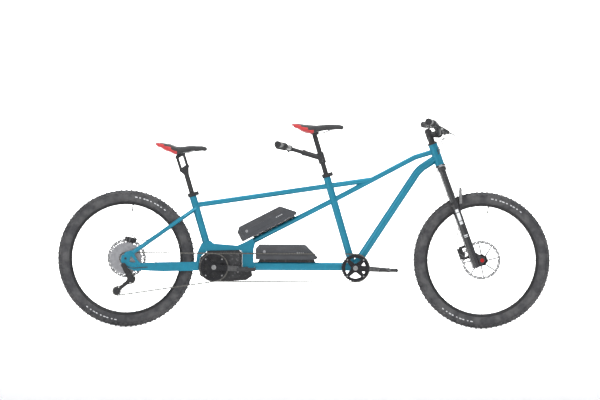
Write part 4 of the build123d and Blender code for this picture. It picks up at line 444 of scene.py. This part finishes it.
def tyre(side):
    """A carcass with rows of tread knobs and a band of plain raised dashes."""
    node = f"{side}_tyre"
    low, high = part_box(node)
    centre = axle[side]
    radius = (high[2] - low[2]) / 2
    half_width = (high[1] - low[1]) / 2 - 0.0005
    foot = 0.2942
    carcass = Builder()
    steps = 44
    section = [tyre_point(centre, half_width - 0.002, radius - 0.0035, foot, -1 + 2 * k / steps) for k in range(steps + 1)]
    inside = [tyre_point(centre, half_width - 0.005, radius - 0.0065, foot, 1 - 2 * k / steps) for k in range(steps + 1)]
    loop = section + inside
    rings = [[on_wheel(centre, y, r, 2 * pi * k / 180) for y, r in loop] for k in range(180)]
    carcass.rings(rings, closed=True)
    tread = Builder()
    pitch = 84
    rows = (
        (0.067, 0.0052, 0.0058, 0.0032, 0.0), (-0.067, 0.0052, 0.0058, 0.0032, 0.0),
        (0.204, 0.0045, 0.0062, 0.0034, 0.5), (-0.204, 0.0045, 0.0062, 0.0034, 0.5),
        (0.369, 0.0058, 0.0066, 0.0042, 0.0), (-0.369, 0.0058, 0.0066, 0.0042, 0.0),
        (0.470, 0.0028, 0.0042, 0.0026, 0.5), (-0.470, 0.0028, 0.0042, 0.0026, 0.5),
    )
    for step in range(pitch):
        for across, wide, long, tall, phase in rows:
            turn = 2 * pi * (step + phase) / pitch
            shift = 0.016 if step % 2 else 0.0
            place = across + (shift if across > 0 else -shift)
            y, r = tyre_point(centre, half_width - 0.002, radius - 0.0035, foot, place)
            angle = place * BEAD_TURN
            out = Vector((cos(turn) * cos(angle), sin(angle), sin(turn) * cos(angle)))
            along = Vector((-sin(turn), 0, cos(turn)))
            aside = out.cross(along)
            half_tall = tall / 2 + 0.0006
            block(tread, on_wheel(centre, y, r, turn) + out * (tall / 2 - 0.0006), (aside, along, out),
                  (wide, long, half_tall), 0.82)
    body = f"{side}_wheel"
    carcass_piece = carcass.piece(f"{side}_tyre_carcass", rubber_tyre, body)
    tread_piece = tread.piece(f"{side}_tyre_tread", rubber_tyre, body, smooth=False)
    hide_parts(node)
    marks = Builder()
    for sidewall in (-1, 1):
        for group in (0.9, 0.9 + pi):
            for dash in range(9):
                turn = group + dash * 0.062 + (0.012 if dash % 3 else 0)
                length = (0.0062, 0.0044, 0.0078)[dash % 3]
                y, r = tyre_point(centre, half_width - 0.002, radius - 0.0035, foot, sidewall * 0.625)
                angle = sidewall * 0.625 * BEAD_TURN
                out = Vector((cos(turn) * cos(angle), sin(angle), sin(turn) * cos(angle)))
                along = Vector((-sin(turn), 0, cos(turn)))
                block(marks, on_wheel(centre, y, r, turn) + out * 0.0002, (out.cross(along), along, out),
                      (0.0024, length * 0.8, 0.0004), 0.9)
    marks_piece = marks.piece(f"{side}_tyre_dashes", pale_marks_and_painted_highlights, body, smooth=False)
    stem = Builder()
    turn = radians(83)
    start = on_wheel(centre, 0, 0.2815, turn)
    stem.turned(start, -Vector((cos(turn), 0, sin(turn))),
                [(0, 0.0052), (0.003, 0.0052), (0.003, 0.003), (0.024, 0.003), (0.024, 0.0042), (0.036, 0.0036)], 16)
    stem.piece(f"{side}_valve", black_metal, body)


for side in ("front", "rear"):
    tyre(side)

# ---------------------------------------------------------------- chains
PITCH = 0.0127


def pitch_radius(teeth):
    return PITCH / (2 * sin(pi / teeth))


def chain_route(circles):
    """Points one pitch apart along a belt line round circles of (x, z, signed radius)."""
    joins = []
    for here, there in zip(circles, circles[1:] + circles[:1]):
        dx, dz = there[0] - here[0], there[1] - here[1]
        heading = atan2(dz, dx) + asin((here[2] - there[2]) / hypot(dx, dz))
        aside = (sin(heading), -cos(heading))
        joins.append((
            (here[0] + here[2] * aside[0], here[1] + here[2] * aside[1]),
            (there[0] + there[2] * aside[0], there[1] + there[2] * aside[1]),
        ))
    parts = []
    for index, circle in enumerate(circles):
        arrive, leave = joins[index - 1][1], joins[index][0]
        first = atan2(arrive[1] - circle[1], arrive[0] - circle[0])
        last = atan2(leave[1] - circle[1], leave[0] - circle[0])
        turn = (last - first) % (2 * pi) if circle[2] > 0 else -((first - last) % (2 * pi))
        parts.append(("arc", circle, first, turn, abs(turn * circle[2])))
        parts.append(("run", leave, joins[index][1], None, hypot(joins[index][1][0] - leave[0], joins[index][1][1] - leave[1])))
    whole = sum(part[4] for part in parts)
    count = 2 * round(whole / PITCH / 2)
    points = []
    for step in range(count):
        left = whole * step / count
        for kind, one, two, turn, length in parts:
            if left <= length:
                break
            left -= length
        share = left / length
        if kind == "arc":
            angle = two + turn * share
            points.append((one[0] + abs(one[2]) * cos(angle), one[1] + abs(one[2]) * sin(angle)))
        else:
            points.append((one[0] + (two[0] - one[0]) * share, one[1] + (two[1] - one[1]) * share))
    return points


def link_outline(length, end_radius, waist):
    """The waisted outline of a chain plate, about its middle."""
    outline = []
    for sign in (1, -1):
        for k in range(7):
            angle = radians(-70 + 140 * k / 6)
            outline.append((sign * (length / 2 + end_radius * cos(angle)), sign * end_radius * sin(angle)))
        outline.append((0, sign * waist))
    return outline


def chain(name, node, circles, y, body):
    """A bicycle chain: inner and outer plates in turn, with rollers and pins."""
    points = chain_route(circles)
    links = Builder()
    outline = link_outline(PITCH, 0.0041, 0.0029)
    for index, here in enumerate(points):
        there = points[(index + 1) % len(points)]
        middle = ((here[0] + there[0]) / 2, (here[1] + there[1]) / 2)
        heading = atan2(there[1] - here[1], there[0] - here[0])
        offset = 0.0016 if index % 2 else 0.0024
        for sign in (-1, 1):
            rings = []
            for level in (offset - 0.0004, offset + 0.0004):
                rings.append([
                    (middle[0] + a * cos(heading) - b * sin(heading), y + sign * level,
                     middle[1] + a * sin(heading) + b * cos(heading))
                    for a, b in (outline if sign < 0 else reversed(outline))
                ])
            links.rings(rings)
        links.turned((here[0], y - 0.0032, here[1]), (0, 1, 0), [(0, 0.0016), (0.0064, 0.0016)], 8)
        links.turned((here[0], y - 0.0012, here[1]), (0, 1, 0), [(0, 0.0038), (0.0024, 0.0038)], 12)
    piece = links.piece(name, chain_steel, body)
    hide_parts(node)
    return piece


ring = pitch_radius(36)
timing_low, timing_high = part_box("timing_chain")
timing_y = (timing_low[1] + timing_high[1]) / 2
drive_low, drive_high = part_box("drive_chain")
drive_y = (drive_low[1] + drive_high[1]) / 2
guide = joints["guide_pulley_spin"]["pos_m"]
tension = joints["tension_pulley_spin"]["pos_m"]
pulley = pitch_radius(11)
timing = chain("timing_links", "timing_chain", [
    (crank["front"][0], crank["front"][2], ring), (crank["rear"][0], crank["rear"][2], ring),
], timing_y, "frame")
drive = chain("drive_links", "drive_chain", [
    (crank["rear"][0], crank["rear"][2], ring), (axle["rear"][0], axle["rear"][2], pitch_radius(15)),
    (guide[0], guide[2], -pulley), (tension[0], tension[2], pulley),
], drive_y, None)
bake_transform(drive)

# ---------------------------------------------------------------- saddles
def saddle(name, node, drop, centre_x, body):
    """A crowned, waisted saddle with coloured rear panels, a seam and its two rails."""
    low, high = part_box(node)
    tail_x, tail_z = low[0], high[2]
    length = high[0] - low[0]
    rail_z = low[2] + 0.0035
    stations = 40
    around = 28

    def level(x, table):
        """A smooth value along the saddle from a table of (place, value)."""
        for (x0, v0), (x1, v1) in zip(table, table[1:]):
            if x <= x1:
                share = max(0.0, (x - x0) / (x1 - x0))
                share = share * share * (3 - 2 * share)
                return v0 + (v1 - v0) * share
        return table[-1][1]

    half = [(0, 0.022), (0.012, 0.052), (0.055, 0.0695), (0.095, 0.060), (0.135, 0.040), (0.18, 0.0235),
            (0.24, 0.0185), (0.262, 0.0155), (length, 0.006)]
    top = [(0, 0.004), (0.03, 0.005), (0.07, 0.0005), (0.125, 0.004 - drop), (0.19, 0.009 - drop),
           (0.245, 0.0075 - drop), (0.265, 0.003 - drop), (length, -drop - 0.005)]
    deep = [(0, 0.014), (0.02, 0.027), (0.06, 0.044), (0.098, 0.050), (0.125, 0.041), (0.16, 0.034), (0.20, 0.031),
            (0.262, 0.025), (length, 0.010)]
    pad = Builder()
    rings = []
    for station in range(stations + 1):
        share = station / stations
        x = length * (0.5 - 0.5 * cos(pi * share)) * 0.998 + 0.0002
        w, z, h = level(x, half), level(x, top), level(x, deep)
        ring_points = []
        for k in range(around):
            angle = 2 * pi * k / around
            side_share = sin(angle)
            up = cos(angle)
            y = w * (abs(side_share) ** 0.72) * (1 if side_share >= 0 else -1)
            if up >= 0:
                groove = 0.0022 * max(0.0, 1 - abs(y) / 0.009) * min(1.0, max(0.0, (0.19 - x) / 0.04))
                rise = z - h * 0.62 * (1 - up ** 0.62) - groove
            else:
                rise = z - h * 0.62 - h * 0.38 * (abs(up) ** 0.5)
                y *= 1 - 0.10 * abs(up)
            ring_points.append((tail_x + x, y, tail_z + rise))
        rings.append(ring_points)
    pad.rings(rings)
    for index, face in enumerate(pad.faces):
        middle = sum((Vector(pad.vertices[v]) for v in face), Vector()) / len(face)
        x = middle.x - tail_x
        w = level(x, half)
        below = tail_z + level(x, top) - middle.z
        if x < 0.112 and abs(middle.y) > w * 0.5 and below > 0.004 + 0.30 * max(0.0, x - 0.02):
            pad.marks[index] = 1
    piece = pad.piece(f"{name}_pad", leather, body, extra=(red_leather,))
    smooth = piece.modifiers.new("smooth", "SUBSURF")
    smooth.levels = smooth.render_levels = 1
    rails = Builder()
    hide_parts(node)
    for sign in (-1, 1):
        route = [
            (tail_x + 0.034, sign * 0.036, tail_z - 0.022), (centre_x - 0.056, sign * 0.024, rail_z + 0.008),
            (centre_x - 0.044, sign * 0.022, rail_z), (centre_x - 0.02, sign * 0.022, rail_z),
            (centre_x + 0.02, sign * 0.022, rail_z), (centre_x + 0.042, sign * 0.022, rail_z),
            (centre_x + 0.056, sign * 0.0205, rail_z + 0.005), (tail_x + 0.228, sign * 0.009, tail_z - drop - 0.012),
        ]
        rail = tube(f"{name}_rail_{'left' if sign > 0 else 'right'}", route, 0.0035, steel, body)
    return piece


def tube(name, route, radius, material, body, order=3, cyclic=False):
    """A smooth round rod along a route."""
    curve = bpy.data.curves.new(name, "CURVE")
    curve.dimensions = "3D"
    curve.bevel_depth = radius
    curve.bevel_resolution = 6
    curve.resolution_u = 16
    curve.use_fill_caps = True
    spline = curve.splines.new("NURBS")
    spline.points.add(len(route) - 1)
    for point, place in zip(spline.points, route):
        point.co = (*place, 1.0)
    spline.order_u = order
    spline.use_endpoint_u = True
    spline.use_cyclic_u = cyclic
    curve.materials.append(material)
    piece = bpy.data.objects.new(name, curve)
    bpy.context.scene.collection.objects.link(piece)
    if body:
        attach(piece, body)
    return piece


head_low, head_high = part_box("stoker_post_head")
saddle("stoker_saddle", "stoker_saddle", 0.020, (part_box("stoker_post_head")[0][0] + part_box("stoker_post_head")[1][0]) / 2,
       "stoker_head")
saddle("captain_saddle", "captain_saddle", 0.008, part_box("captain_seatpost")[0][0] + 0.021, "captain_post")

# ---------------------------------------------------------------- grips
def grips(node, reach, body):
    """Ribbed sleeves with a collar at each end, over both ends of a bar."""
    for sign in (-1, 1):
        outer = slab_centre(node, *sorted((sign * (reach - 0.012), sign * (reach + 0.004))))
        inner = slab_centre(node, *sorted((sign * (reach - 0.125), sign * (reach - 0.100))))
        way = (outer - inner).normalized()
        start = outer - way * 0.118
        sleeve = Builder()
        profile = [(0.0, 0.0118), (0.0, 0.0182), (0.010, 0.0182), (0.011, 0.0163)]
        for rib in range(23):
            along = 0.013 + rib * 0.0044
            bulge = 0.0006 * sin(pi * rib / 22)
            profile += [(along, 0.0160 + bulge), (along + 0.0012, 0.0170 + bulge), (along + 0.0030, 0.0170 + bulge)]
        profile += [(0.1160, 0.0163), (0.1175, 0.0176), (0.1255, 0.0176), (0.1275, 0.0160), (0.1275, 0.0004)]
        sleeve.turned(start, way, profile, 40, caps=False)
        piece = sleeve.piece(f"{node}_grip_{'left' if sign > 0 else 'right'}", rubber, body)


grips("handlebar", 0.390, "steering")
grips("stoker_handlebar", 0.310, "stoker_bar")

# ---------------------------------------------------------------- small shaped pieces
def bolt(builder, place, way, radius, tall=0.004):
    """A socket head bolt that stands out along a direction."""
    builder.turned(place, way, [
        (-0.001, radius), (tall * 0.85, radius), (tall, radius * 0.85), (tall, radius * 0.5), (tall * 0.35, radius * 0.45),
    ], 16)


def plate(builder, outline, to_world, low, high, chamfer=0.0008, mark=0):
    """A flat plate with a chamfered rim: outline in two coordinates, low to high across them."""
    middle = (sum(a for a, b in outline) / len(outline), sum(b for a, b in outline) / len(outline))

    def inset(amount):
        result = []
        for a, b in outline:
            away = hypot(a - middle[0], b - middle[1])
            share = 1 - amount / away
            result.append((middle[0] + (a - middle[0]) * share, middle[1] + (b - middle[1]) * share))
        return result

    lift = chamfer if high > low else -chamfer
    rings = [
        [to_world(a, b, low) for a, b in outline],
        [to_world(a, b, high - lift) for a, b in outline],
        [to_world(a, b, high) for a, b in inset(abs(chamfer) * 1.4)],
    ]
    builder.rings(rings, mark=mark)


def rounded(a0, a1, b0, b1, radius, steps=4):
    """A rectangle with rounded corners as an outline."""
    outline = []
    for a, b, start in ((a1 - radius, b1 - radius, 0), (a0 + radius, b1 - radius, 90),
                        (a0 + radius, b0 + radius, 180), (a1 - radius, b0 + radius, 270)):
        for k in range(steps + 1):
            angle = radians(start + 90 * k / steps)
            outline.append((a + radius * cos(angle), b + radius * sin(angle)))
    return outline


def wrap(builder, origin, way, outward, radius, start, stop, half_angle, thick=0.0004):
    """A thin patch on the side of a round tube."""
    way = Vector(way).normalized()
    outward = Vector(outward)
    outward = (outward - way * outward.dot(way)).normalized()
    aside = way.cross(outward)
    rings = []
    for along in (start, start + 0.0006, stop - 0.0006, stop):
        ring_points = []
        edge = along in (start, stop)
        for step in range(9):
            angle = radians(-half_angle + 2 * half_angle * step / 8)
            reach = radius + (0.0 if edge or step in (0, 8) else thick)
            ring_points.append(Vector(origin) + way * along + outward * reach * cos(angle) + aside * reach * sin(angle))
        for step in range(9):
            angle = radians(half_angle - 2 * half_angle * step / 8)
            reach = radius - 0.0008
            ring_points.append(Vector(origin) + way * along + outward * reach * cos(angle) + aside * reach * sin(angle))
        rings.append(ring_points)
    builder.rings(rings)


# ---------------------------------------------------------------- batteries
def battery_details(node, joint):
    """A paler top band, end cap seams, a lock and charge lights on one battery."""
    pivot = Vector(joints[joint]["pos_m"])
    along = -Vector(joints[joint]["axis"]).normalized()
    up = Vector((-along.z, 0, along.x))
    origin = Vector((pivot.x, 0, pivot.z))
    spots = [v.co - origin for v in nodes[node].data.vertices]
    a0, a1 = min(p.dot(along) for p in spots), max(p.dot(along) for p in spots)
    h0, h1 = min(p.dot(up) for p in spots), max(p.dot(up) for p in spots)
    wide = max(p.y for p in spots)

    def world(sign):
        return lambda a, h, y: origin + along * a + up * h + Vector((0, sign * y, 0))

    band, seams, metal, lights = Builder(), Builder(), Builder(), Builder()
    for sign in (-1, 1):
        plate(band, rounded(a0 + 0.034, a1 - 0.062, h1 - 0.031, h1 - 0.012, 0.004), world(sign), wide - 0.001, wide + 0.0009)
        for a in (a0 + 0.026, a1 - 0.054):
            plate(seams, rounded(a - 0.0006, a + 0.0006, h0 + 0.012, h1 - 0.012, 0.0005), world(sign), wide - 0.0008,
                  wide + 0.0002, 0.0001)
        plate(seams, rounded(a0 + 0.034, a1 - 0.062, h0 + 0.020, h0 + 0.0212, 0.0005), world(sign), wide - 0.0008,
              wide + 0.0002, 0.0001)
        plate(band, rounded(a0 + 0.006, a0 + 0.020, h0 + 0.022, h1 - 0.022, 0.004), world(sign), wide - 0.001, wide + 0.0006)
        metal.turned(world(sign)(a0 + 0.046, h0 + 0.040, wide - 0.001), (0, sign, 0),
                     [(0, 0.0075), (0.0022, 0.0075), (0.0028, 0.0068), (0.0028, 0.0052), (0.0018, 0.0050)], 24)
        for k in range(4):
            plate(lights, rounded(a1 - 0.110 + k * 0.010, a1 - 0.104 + k * 0.010, h0 + 0.034, h0 + 0.0365, 0.001),
                  world(sign), wide - 0.0008, wide + 0.0004, 0.0002)
    body = node
    for builder, name, material in ((band, "band", battery_band), (seams, "seams", hose_black),
                                    (metal, "lock", silver), (lights, "lights", pale_marks_and_painted_highlights)):
        builder.piece(f"{node}_{name}", material, body)


battery_details("upper_battery", "upper_battery_swing")
battery_details("lower_battery", "lower_battery_swing")


# ---------------------------------------------------------------- fork
def leg_line(sign):
    """The axis of one stanchion: a point on it and its upward direction."""
    way = Vector(joints["fork_travel"]["axis"]).normalized()
    picked = [v.co for v in nodes["fork_stanchions"].data.vertices if v.co.y * sign > 0.03]
    lowest = min(p.dot(way) for p in picked)
    highest = max(p.dot(way) for p in picked)
    ahead = Vector((way.z, 0, -way.x))
    across = [p.dot(ahead) for p in picked]
    side = [p.y for p in picked]
    middle = ahead * (min(across) + max(across)) / 2 + Vector((0, (min(side) + max(side)) / 2, 0))
    return middle, way, lowest, highest, ahead


lowers = [v.co for v in nodes["fork_lowers"].data.vertices]
wipers, knobs, fork_painted_highlights = Builder(), Builder(), Builder()
for sign in (-1, 1):
    middle, way, lowest, highest, ahead = leg_line(sign)
    leg_top = max(
        p.dot(way) for p in lowers if abs(p.y - middle.y) < 0.022 and abs(p.dot(ahead) - middle.dot(ahead)) < 0.0215
    )
    wipers.turned(middle + way * leg_top, way, [
        (-0.004, 0.0178), (-0.004, 0.0207), (0.003, 0.0207), (0.0045, 0.0198), (0.006, 0.0198), (0.0075, 0.0190),
        (0.011, 0.0186), (0.012, 0.0176), (-0.002, 0.0174),
    ], 40, caps=False)
    knobs.turned(middle + way * (highest - 0.001), way, [
        (0, 0.0150), (0.003, 0.0150), (0.004, 0.0142), (0.004, 0.0096), (0.011, 0.0090), (0.012, 0.0080), (0.012, 0.0006),
    ], 32)
    # Pale strips wrapped on the outer side of each lower leg: painted highlights standing in for the shine along the
    # legs.
    for start, stop, angle in ((0.030, 0.046, 24), (0.050, 0.092, 24), (0.096, 0.112, 24), (0.170, 0.176, 30),
                               (0.180, 0.183, 30)):
        wrap(fork_painted_highlights, middle + way * leg_top, -way, (0, sign, 0), 0.0200, start, stop, angle)
wipers.piece("fork_wipers", rubber, "fork_lowers")
knobs.piece("fork_top_caps", silver, "steering")
# The fork's painted highlight strips ride on the lowers.
fork_painted_highlights.piece("fork_leg_painted_highlights", pale_marks_and_painted_highlights, "fork_lowers")

# ---------------------------------------------------------------- wheels' small pieces
for side in ("front", "rear"):
    centre = axle[side]
    nipples = Builder()
    for k in range(32):
        turn = 2 * pi * k / 32 + (pi / 32 if k % 2 else 0)
        turn = 2 * pi * k / 32
        inward = Vector((-cos(turn), 0, -sin(turn)))
        y = 0.0037 if k % 2 else -0.0037
        nipples.turned(on_wheel(centre, y, 0.2822, turn), inward,
                       [(0, 0.0021), (0.004, 0.0021), (0.005, 0.0016), (0.013, 0.0016), (0.0135, 0.0011)], 8)
    nipples.piece(f"{side}_nipples", silver, f"{side}_wheel")
    disc_low, disc_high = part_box(f"{side}_rotor")
    bolts = Builder()
    for k in range(6):
        turn = 2 * pi * k / 6
        bolt(bolts, on_wheel(centre, disc_high[1], 0.0225, turn), (0, 1, 0), 0.0042, 0.0022)
    bolts.piece(f"{side}_rotor_bolts", steel, f"{side}_wheel")

# ---------------------------------------------------------------- motor
hub_x, hub_z = crank["rear"][0], crank["rear"][2]
shell = [v.co for v in nodes["motor_housing"].data.vertices]
shell_mid = ((min(p.x for p in shell) + max(p.x for p in shell)) / 2, hub_z + 0.02)
reach = {}
for p in shell:
    turn = int(degrees(atan2(p.z - shell_mid[1], p.x - shell_mid[0])) // 6)
    if 0 <= turn < 30:
        reach[turn] = max(reach.get(turn, 0.0), hypot(p.x - shell_mid[0], p.z - shell_mid[1]))
liner_rim = [(shell_mid[0] + (far + 0.014) * cos(radians(6 * turn + 3)), shell_mid[1] + (far + 0.014) * sin(radians(6 * turn + 3)))
             for turn, far in sorted(reach.items())]
liner = Builder()
liner.rings([[(x, y, z) for x, z in liner_rim] for y in (-0.016, 0.016)])
liner.piece("motor_liner", rubber, "frame")

# ---------------------------------------------------------------- cranks and pedals
for side in ("front", "rear"):
    centre = crank[side]
    low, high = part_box(f"{side}_cranks")
    ring_face = (timing_y if side == "front" else drive_y) + 0.0011
    bolts = Builder()
    for k in range(4):
        turn = pi / 4 + pi / 2 * k
        place = Vector((centre[0] + (ring - 0.013) * cos(turn), -0.0700, centre[2] + (ring - 0.013) * sin(turn)))
        bolt(bolts, place, (0, -1, 0), 0.0040, 0.0022)
    for sign in (-1, 1):
        bolts.turned((centre[0], sign * 0.0835, centre[2]), (0, sign, 0), [
            (0, 0.0125), (0.0022, 0.0125), (0.0030, 0.0115), (0.0030, 0.0070), (0.0012, 0.0066),
        ], 32)
    bolts.piece(f"{side}_crank_bolts", steel, f"{side}_cranks")

for name in ("front_left_pedal", "front_right_pedal", "rear_left_pedal", "rear_right_pedal"):
    low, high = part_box(name)
    pins = Builder()
    for top in (False, True):
        level = high[2] if top else low[2]
        way = (0, 0, 1) if top else (0, 0, -1)
        for k in range(5):
            y = low[1] + 0.012 + (high[1] - low[1] - 0.024) * k / 4
            for x in (low[0] + 0.006, high[0] - 0.006):
                pins.turned((x, y, level - (0.001 if top else -0.001)), way,
                            [(0, 0.0020), (0.0036, 0.0018), (0.0040, 0.0012)], 8)
    pins.piece(f"{name}_pins", steel, name)
